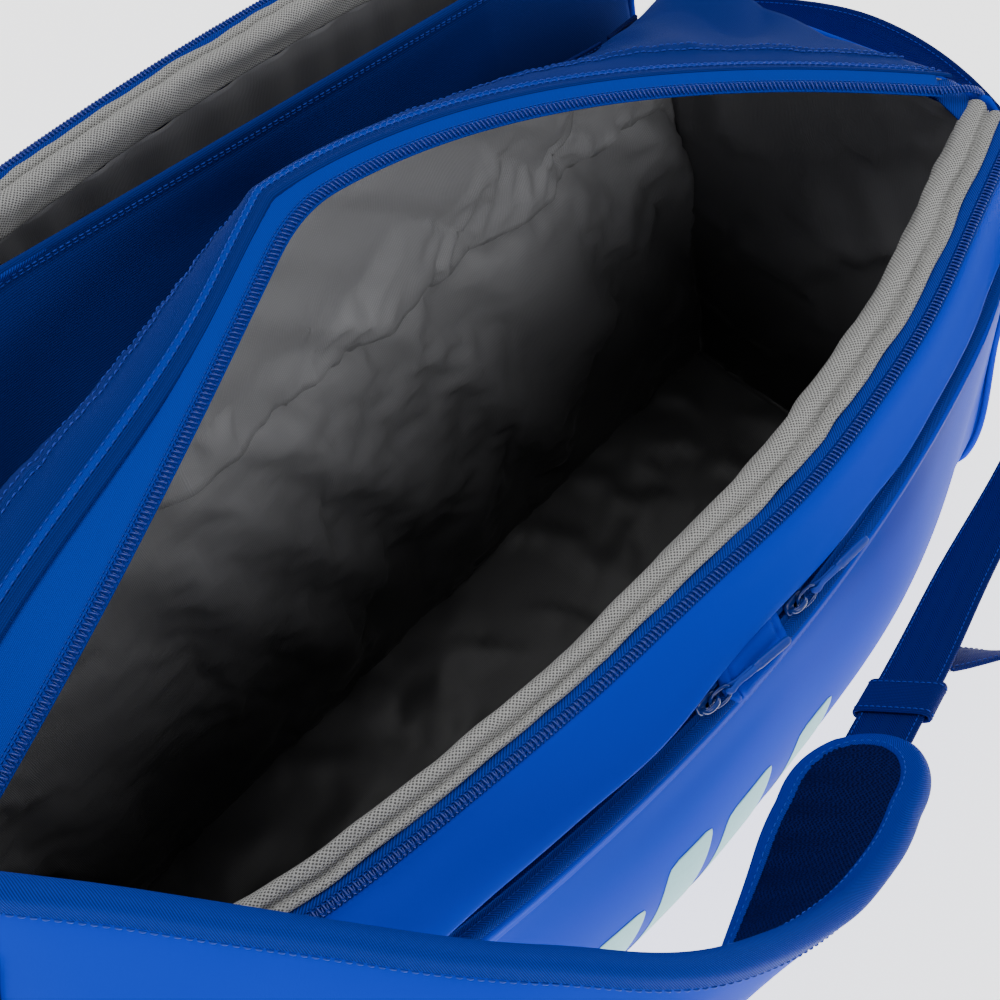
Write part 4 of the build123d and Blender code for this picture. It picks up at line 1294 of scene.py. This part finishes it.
def shoulder_pad(prefix, route, body, spare=6.0):
    band = Band(route, spare)
    start, end, half, turn = -5.0, band.length + 5.0, 32.6, 36.0
    phi = np.linspace(0, pi / 2, 26)
    near_s, near_h = start + turn * (1 - np.cos(phi)), np.sin(phi) ** 0.9
    far_s, far_h = end - turn * (1 - np.cos(phi[::-1])), np.sin(phi[::-1]) ** 0.9
    mid_s = np.linspace(near_s[-1], far_s[0], 150)[1:-1]
    side_s = np.concatenate([near_s, mid_s, far_s])
    middle = (band.s > turn) & (band.s < band.length - turn)
    broad = np.interp(side_s, band.s[middle], band.wide[middle] / 2 + 2.6)
    side_h = np.concatenate([near_h, np.ones(len(mid_s)), far_h]) * broad
    s = np.concatenate([side_s, side_s[::-1][1:-1]])
    a = np.concatenate([side_h, -side_h[::-1][1:-1]])
    steps = np.hypot(np.diff(np.append(s, s[0])), np.diff(np.append(a, a[0])))
    knots = np.concatenate([[0], np.cumsum(steps)])
    at = np.linspace(0, knots[-1], int(knots[-1] / 2.2), endpoint=False)
    s, a = np.interp(at, knots, np.append(s, s[0])), np.interp(at, knots, np.append(a, a[0]))
    run = unit(np.column_stack([np.roll(s, -1) - np.roll(s, 1), np.roll(a, -1) - np.roll(a, 1)]))
    inward = np.column_stack([run[:, 1], -run[:, 0]])
    roll = rounded_section([(9.6, 4.9), (9.0, 5.3), (5, 5.4), (1.4, 4.7), (-0.5, 2.4), (-0.9, 0),
                            (-0.5, -2.4), (1.4, -4.7), (5, -5.4), (9.0, -5.3), (9.6, -4.9), (9.0, -4.2),
                            (4, -3.6), (2.6, 0), (4, 3.6), (9.0, 4.2)], 48)
    squeeze = 1 + 0.02 * np.sin(at / 9)[:, None]
    rows = band(s[:, None] + inward[:, :1] * roll[None, :, 0], a[:, None] + inward[:, 1:] * roll[None, :, 0],
                roll[None, :, 1] * squeeze)
    rows = np.concatenate([rows, rows[:1]])
    rows = np.concatenate([rows, rows[:, :1]], axis=1)
    binding = cloth(f"{prefix}_binding_roll", rows, BINDING, 0, body)
    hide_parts(f"{prefix}_binding")
    for face in (-1, 1):
        loop_s, loop_a = np.append(s, s[0]), np.append(a, a[0])
        loop_in = np.concatenate([inward, inward[:1]])
        seam = band(loop_s + loop_in[:, 0] * 7.4, loop_a + loop_in[:, 1] * 7.4, 5.36 * face)
        lifted = band(loop_s + loop_in[:, 0] * 7.4, loop_a + loop_in[:, 1] * 7.4, 6.36 * face)
        stitch(seam, lifted - seam, THREAD, body, pitch=3.4, long=2.5)
    for kind, face, material in (("skin", 1, PU), ("mesh", -1, NAVY_MESH)):
        fine = 0.8 if kind == "mesh" else 2.5
        t = np.linspace(start + 5, end - 5, int((end - start) / fine))
        reach = np.interp(t, side_s, side_h) - 5
        q = np.linspace(-1, 1, int(2 * half / fine))
        ss, qq = np.meshgrid(t, q, indexing="ij")
        aa = qq * np.maximum(reach, 0)[:, None]
        height = 4.2 + 0.9 * np.sqrt(np.clip(1 - qq ** 4, 0, 1)) + 0.25 * field(ss, aa, 91, low=30, high=90)
        if kind == "mesh":
            bumps = np.cos(2 * pi * ss / 3.3) * np.cos(2 * pi * aa / 3.3)
            height = height + 0.42 * np.clip(bumps, -0.2, 1) * (np.abs(qq) < 0.93)
        rows = band(ss, aa, height * face)
        piece = cloth(f"{prefix}_{kind}_cloth", rows, material, 0.8, body, flip=face < 0)
        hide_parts(f"{prefix}_{kind}", *([f"{prefix}_foam"] if kind == "skin" else []))


shoulder_pad("front_strap", FRONT_PAD, "front_strap")
shoulder_pad("rear_strap", REAR_PAD, "rear_strap")
webbing("front_strap_root_web", FRONT_ROOT, "front_strap")
piece = webbing("front_strap_far_web", FRONT_WEB, "front_strap")
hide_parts("front_strap_web")
piece = webbing("front_strap_tail_web", FRONT_TAIL, "front_strap")
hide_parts("front_strap_tail")
webbing("rear_strap_root_web", REAR_ROOT, "rear_strap")
piece = webbing("rear_strap_far_web", REAR_WEB, "rear_strap")
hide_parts("rear_strap_web")


def keeper(name, route, index, body, node):
    """A plain webbing sleeve round the strap, 22 mm long."""
    band = Band(route)
    points = np.array([p[:3] for p in route])
    centre = int(np.argmin(np.linalg.norm(band.line - points[index], axis=1)))
    angle = np.linspace(0, 2 * pi, 72, endpoint=False)
    c, s = np.cos(angle), np.sin(angle)
    a = 17.2 * np.sign(c) * np.abs(c) ** 0.35
    t = 2.5 * np.sign(s) * np.abs(s) ** 0.5
    path = band(np.full(72, band.s[centre]), a, t)
    along = band.along[centre]
    radial = unit(np.cross(np.roll(path, -1, axis=0) - np.roll(path, 1, axis=0), along))
    sleeve = sweep(name, path, along, radial, flat_section(22, 1.3, 1.0), PLAIN_WEB, body, loop=True)
    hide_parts(node)
    for shift in (-8.6, 8.6):
        ring = np.concatenate([path, path[:1]]) + along * shift
        outward = np.concatenate([radial, radial[:1]])
        stitch(ring + outward * 0.65, outward, THREAD, body, pitch=2.8, long=2.1, thick=0.28)


keeper("front_keeper_sleeve", FRONT_WEB, 2, "front_keeper", "front_strap_keeper")
keeper("rear_keeper_sleeve", REAR_ROOT, 3, "rear_keeper", "rear_strap_keeper")

tab_band = Band(TAB_ROUTE)
path = tab_band.line - tab_band.x * 8 + tab_band.y * 6.6
tab_section = np.array([flat_section(24, 2.0) for _ in path])
strap_tab = sweep("front_strap_tab_web", path, tab_band.x, tab_band.y, tab_section, PLAIN_WEB, "front_strap")
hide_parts("front_strap_tab")
for shift in (-10, 10):
    stitch(path + tab_band.x * shift + tab_band.y, tab_band.y, THREAD, "front_strap", pitch=2.8, long=2.1)
for at_end in (2, -3):
    across_tab = np.linspace(-10, 10, 20)[:, None]
    row = path[at_end] + tab_band.x[at_end] * across_tab + tab_band.y[at_end]
    stitch(row, tab_band.y[at_end], THREAD, "front_strap", pitch=2.8, long=2.1)

for side, end in ((-1, "near"), (1, "far")):
    x = side * ANCHOR_X
    zs = np.linspace(SPINE_Z + 0.5, 274, 20)
    upright = np.column_stack([np.full(20, x), np.full(20, SPINE_Y), zs])
    anchor = sweep(f"anchor_web_{end}", upright, (1, 0, 0), (0, 1, 0), flat_section(26, 2.4), WEBBING)
    foot = np.column_stack([np.linspace(-15, 15, 20) + x, np.full(20, SPINE_Y), np.full(20, SPINE_Z + 1)])
    sweep(f"anchor_foot_{end}", foot, (0, 1, 0), (0, 0, 1), flat_section(18, 1.4), PLAIN_WEB)
    for z in (250, 270):
        row = np.column_stack([np.linspace(-10, 10, 20) + x, np.full(20, SPINE_Y - 1.2), np.full(20, z)])
        stitch(row, (0, -1, 0), THREAD)
    if side < 0:
        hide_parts("strap_anchors")

# ---------------------------------------------------------------- generic print on the front panel
# Slanted bars of several heights: a plain decoration, no letters.
front_v = lengths(front_rows, 1)
front_out = normals(front_rows)
BARS = [(-150, 30, 56), (-108, 34, 70), (-64, 30, 84), (-22, 36, 74), (26, 30, 98)]
for number, (x_start, wide, tall) in enumerate(BARS):
    a, b = np.meshgrid(np.linspace(0, 1, 24), np.linspace(0, 1, 40), indexing="ij")
    corner = 0.5 * (1 - np.clip(1 - ((2 * b - 1) ** 8), 0, 1) ** 0.3)
    station = x_start + wide * (corner * 0.4 + a * (1 - corner * 0.8)) + 0.35 * tall * b
    down_from_top = 62 + 8 * sin(number * 2.1) + (1 - b) * tall
    i = (station + SIDE_REACH) / (2 * SIDE_REACH) * (len(front_rows) - 1)
    low = np.clip(i.astype(int), 0, len(front_rows) - 2)
    part = (i - low)[..., None]
    rows = np.empty(a.shape + (3,))
    for p in np.ndindex(a.shape):
        near, far, v = front_rows[low[p]], front_rows[low[p] + 1], front_v[low[p]]
        target = v[-1] - down_from_top[p]
        j = int(np.clip(np.searchsorted(v, target) - 1, 0, len(v) - 2))
        f = (target - v[j]) / (v[j + 1] - v[j])
        one = near[j] * (1 - f) + near[j + 1] * f
        two = far[j] * (1 - f) + far[j + 1] * f
        rows[p] = one * (1 - part[p]) + two * part[p] + front_out[low[p], j] * 0.3
    cloth(f"print_bar_{number}", rows, PRINT, 0.12)

build_stitches()

# ---------------------------------------------------------------- CAD nodes that stay, and slots
for node, material in (("front_wall", RIBBED), ("base_boards", BOARD)):
    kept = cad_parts[node]
    kept.data.materials.clear()
    kept.data.materials.append(material)

# ---------------------------------------------------------------- floor, light and camera
floor_mesh = bpy.data.meshes.new("floor")
floor_mesh.from_pydata([(-40, -40, 0), (40, -40, 0), (40, 40, 0), (-40, 40, 0)], [], [(0, 1, 2, 3)])
floor = bpy.data.objects.new("floor", floor_mesh)
bpy.context.collection.objects.link(floor)
floor_look = Graph("floor_pale", (0.9, 0.9, 0.9), 0.95, Emission_Color=(1, 1, 1, 1), Emission_Strength=2.0)
floor_mesh.materials.append(floor_look.material)

world = bpy.data.worlds.new("studio")
bpy.context.scene.world = world
world.use_nodes = True
world.node_tree.nodes["Background"].inputs[0].default_value = (1.0, 1.0, 1.0, 1)
world.node_tree.nodes["Background"].inputs[1].default_value = 0.32


def area_light(name, at, toward, size, power):
    data = bpy.data.lights.new(name, "AREA")
    data.shape = "RECTANGLE"
    data.size, data.size_y = size
    data.energy = power
    lamp = bpy.data.objects.new(name, data)
    bpy.context.collection.objects.link(lamp)
    lamp.location = at
    lamp.rotation_euler = (Vector(toward) - Vector(at)).to_track_quat("-Z", "Y").to_euler()
    return lamp


area_light("overhead", (-0.2, 0.5, 2.3), (0, 0, 0.2), (1.8, 1.4), 25)
area_light("front", (-0.6, -2.2, 1.5), (0, 0, 0.2), (1.6, 1.0), 13)
area_light("side", (2.2, -0.4, 1.4), (0, 0, 0.2), (1.2, 1.2), 8)

CAMERA_AT = (-0.192, -0.249, 0.793)
CAMERA_HEADING = (0.739, 0.673, 0)
LOOK_DOWN = radians(60)
view = bpy.data.cameras.new("photo_view")
view.lens = 46.8
view.sensor_width = 36
view.clip_start = 0.02
camera = bpy.data.objects.new("photo_view", view)
bpy.context.collection.objects.link(camera)
camera.location = CAMERA_AT
heading = Vector(CAMERA_HEADING).normalized() * cos(LOOK_DOWN) + Vector((0, 0, -sin(LOOK_DOWN)))
camera.rotation_euler = heading.to_track_quat("-Z", "Y").to_euler()
bpy.context.scene.camera = camera
